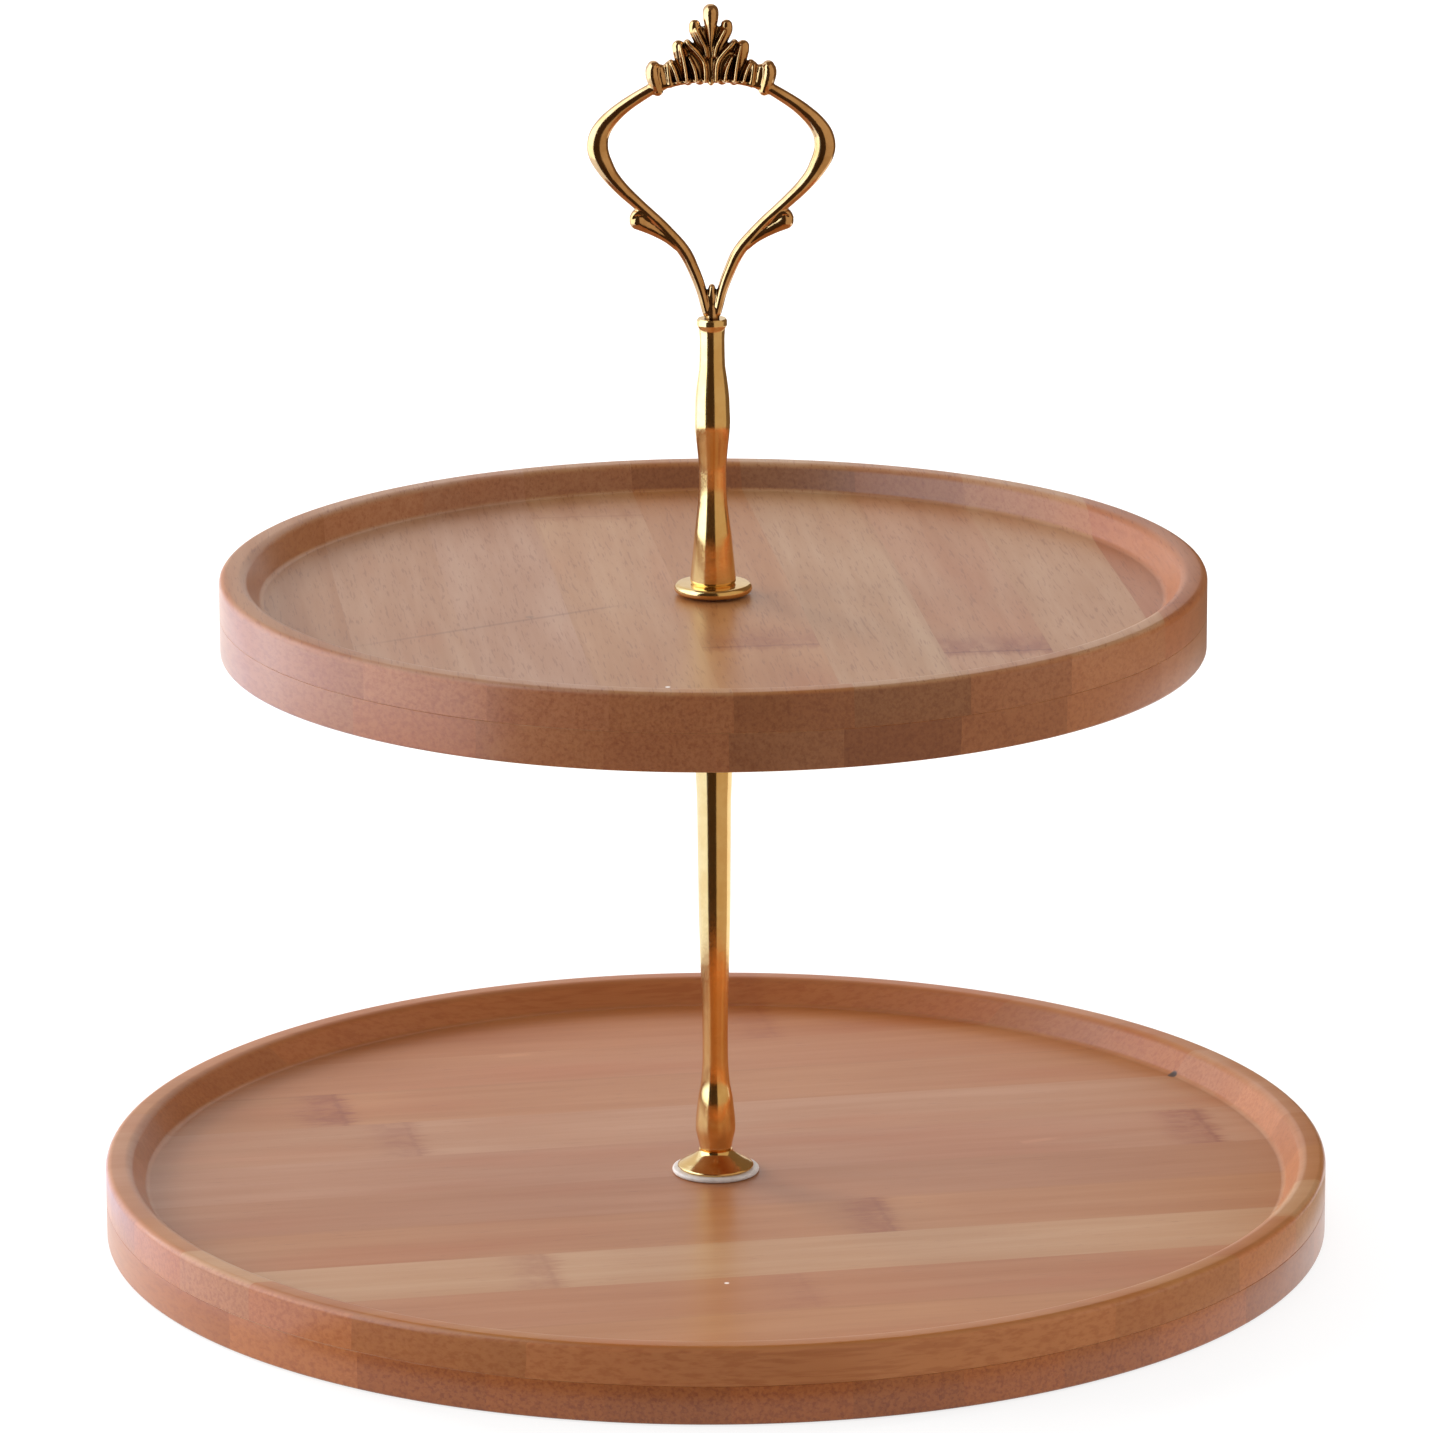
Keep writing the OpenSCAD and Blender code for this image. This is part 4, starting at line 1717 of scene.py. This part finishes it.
@dataclass(frozen=True)
class Screen:
    """Card round the stand that only shiny pieces mirror, as a stripe.

    Attributes:
        name: Name of the card.
        start: Where it starts, in degrees round the stand from the camera, right positive.
        end: Where it ends.
        shade: Linear colour of the card.
        inner: Distance of its low edge from the axis, in metres.
        outer: Distance of its high edge.
        low: Height of its low edge.
        high: Height of its high edge.
        steps: How many flat panels it has.
    """

    name: str
    start: float
    end: float
    shade: Colour
    inner: float = 0.45
    outer: float = 0.45
    low: float = 0.001
    high: float = 0.9
    steps: int = 12

    def build(self) -> None:
        """Puts the card in the studio, unseen by the camera."""
        span = self.end - self.start
        turns = [math.radians(self.start + span * i / self.steps) for i in range(self.steps + 1)]
        points = []
        for reach, height in ((self.inner, self.low), (self.outer, self.high)):
            points += [(reach * math.sin(a), -reach * math.cos(a), height) for a in turns]
        row = self.steps + 1
        mesh = bpy.data.meshes.new(self.name)
        mesh.from_pydata(points, [], [(i, i + 1, i + 1 + row, i + row) for i in range(self.steps)])
        card = linked(self.name, mesh)
        made, g = new_graph(self.name)
        glow = g.node("ShaderNodeEmission")
        glow.inputs["Color"].default_value = (*self.shade, 1.0)
        g.end(glow)
        mesh.materials.append(made)
        card.visible_camera = False
        card.visible_diffuse = False
        card.visible_shadow = False
        card.visible_transmission = False


def floor_mat(name: str, start: float, end: float, shade: Colour) -> Screen:
    """Card that lies on the floor, in front of a standing one."""
    return Screen(name, start, end, shade, inner=0.135, high=0.001)


WINDOW_CARD = (2.1, 2.7, 3.2)
BRIGHT_CARD = (1.05, 1.25, 1.6)
DARK_CARD = (0.05, 0.03, 0.015)
WARM_CARD = (0.56, 0.45, 0.31)
BROWN_CARD = (0.18, 0.12, 0.07)


@dataclass
class Studio:
    """White floor, soft lights, screens and the camera.

    Attributes:
        distance: Horizontal distance from the camera to the stand's axis, in metres.
        height: Height of the camera.
        side: How far the camera stands to the right of the axis.
        tilt_deg: How far it looks down.
        roll_deg: How far it leans.
        lens: Focal length on a 36 mm sensor, in millimetres.
        floor_r: Radius of the floor, in metres.
        floor_sides: How many sides the floor has.
        floor_drop: How far it lies under the stand.
        floor_tone: Linear colour of the floor for bounced light.
        floor_seen: Linear colour of the floor where it is seen or mirrored.
        floor_glow: How far the floor glows there, which makes it white.
        air_light: Strength of the surroundings for bounced light.
        lights: The lights.
        screens: The cards.
    """

    distance: float = 1.5741
    height: float = 0.5252
    side: float = 0.00056
    tilt_deg: float = 14.884
    roll_deg: float = -0.25
    lens: float = 202.1
    floor_r: float = 5.0
    floor_sides: int = 64
    floor_drop: float = 0.0002
    floor_tone: Colour = (0.8, 0.78, 0.75)
    floor_seen: Colour = (0.3, 0.3, 0.3)
    floor_glow: float = 0.76
    air_light: float = 0.9
    lights: tuple[Softbox, ...] = (
        Softbox("window", (-1.7, 0.0, 0.5), (1.0, 0.8), 20.0, (1.0, 0.98, 0.96)),
        Softbox("left_back", (-1.3, 1.3, 0.5), (0.8, 0.8), 46.0),
        Softbox("back_light", (0.0, 2.0, 0.7), (1.6, 0.8), 20.0),
        Softbox("right_fill", (1.6, -0.1, 0.3), (1.0, 0.6), 8.0, (1.0, 0.97, 0.93)),
        Softbox("right_back", (1.02, 0.52, 1.1), (0.12, 0.12), 2.0),
    )
    screens: tuple[Screen, ...] = (
        Screen("window_card", -118, -47, WINDOW_CARD),
        Screen("left_card", -140, -118, BRIGHT_CARD),
        floor_mat("left_mat", -140, -47, BRIGHT_CARD),
        Screen("front_card", -47, 15, DARK_CARD),
        floor_mat("front_mat", -47, 15, DARK_CARD),
        Screen("right_card", 15, 100, WARM_CARD),
        floor_mat("right_mat", 15, 100, WARM_CARD),
        Screen("back_card", 100, 163, BROWN_CARD),
        Screen("ceiling_card", -180, 180, BROWN_CARD, inner=0.02, outer=0.5, low=0.9),
    )

    def seen(self, g: Graph) -> Socket:
        """Tells what is seen, mirrored or looked through from bounced light.

        Args:
            g: Graph that asks.

        Returns:
            1 for what is seen, and 0 for bounced light.
        """
        rays = g.node("ShaderNodeLightPath").outputs
        direct = g.math("ADD", rays["Is Camera Ray"], rays["Is Glossy Ray"])
        direct = g.math("ADD", direct, rays["Is Transmission Ray"])
        return g.math("MINIMUM", direct, 1.0)

    def floor(self) -> None:
        """Lays the plain white floor that fills the view."""
        turns = [i * 2 * math.pi / self.floor_sides for i in range(self.floor_sides)]
        rim = [(self.floor_r * math.cos(a), self.floor_r * math.sin(a), 0.0) for a in turns]
        mesh = bpy.data.meshes.new("floor")
        mesh.from_pydata(rim, [], [list(range(self.floor_sides))])
        sheet = linked("floor", mesh)
        sheet.location.z = cad_box[0].z - self.floor_drop
        made, g = new_graph("white_floor")
        matt = g.node("ShaderNodeBsdfDiffuse")
        g.feed(matt.inputs["Color"], g.mix(self.seen(g), self.floor_tone, self.floor_seen))
        glow = g.node("ShaderNodeEmission")
        g.feed(glow.inputs["Strength"], g.times(self.seen(g), self.floor_glow))
        both = g.node("ShaderNodeAddShader")
        g.feed(both.inputs[0], matt.outputs[0])
        g.feed(both.inputs[1], glow.outputs[0])
        g.end(both)
        mesh.materials.append(made)

    def air(self) -> None:
        """Makes surroundings that are white where they are seen or mirrored, and a soft light elsewhere."""
        world = bpy.data.worlds.new("studio_air")
        world.use_nodes = True
        bpy.context.scene.world = world
        g = Graph(world.node_tree)
        white = g.node("ShaderNodeBackground")
        g.feed(white.inputs["Strength"], g.spread(self.seen(g), 0.0, 1.0, self.air_light, 1.0))
        g.end(white, "ShaderNodeOutputWorld")

    def camera(self) -> None:
        """Sets up the camera."""
        lens = bpy.data.cameras.new("camera")
        lens.lens = self.lens
        lens.sensor_width = 36.0
        lens.clip_end = 50.0
        holder = linked("camera", lens)
        look = Matrix.Rotation(math.radians(90 - self.tilt_deg), 4, "X")
        lean = Matrix.Rotation(math.radians(self.roll_deg), 4, "Z")
        holder.matrix_world = Matrix.Translation((self.side, -self.distance, self.height)) @ look @ lean
        bpy.context.scene.camera = holder

    def build(self) -> None:
        """Builds the whole studio."""
        self.camera()
        self.air()
        self.floor()
        for item in self.lights + self.screens:
            item.build()
        bpy.context.scene.view_settings.view_transform = "Standard"
        log.info("the studio has %d lights and %d screens", len(self.lights), len(self.screens))


def main() -> None:
    """Builds the stand from the table up, and then the studio around it."""
    logging.basicConfig(level=logging.INFO, format="%(name)s: %(message)s")
    dresser = Dresser()
    BambooTray("lower_tray", Body.LOWER_TRAY, LOWER_BAMBOO, LOWER_BAMBOO_BELOW, pocket_r=11.5).build(dresser)
    BambooTray("upper_tray", Body.UPPER_TRAY, UPPER_BAMBOO, UPPER_BAMBOO_BELOW).build(dresser)
    ClampStack().build(dresser)
    CrownHandle().build(dresser)
    Studio().build()


if __name__ == "__main__":
    main()
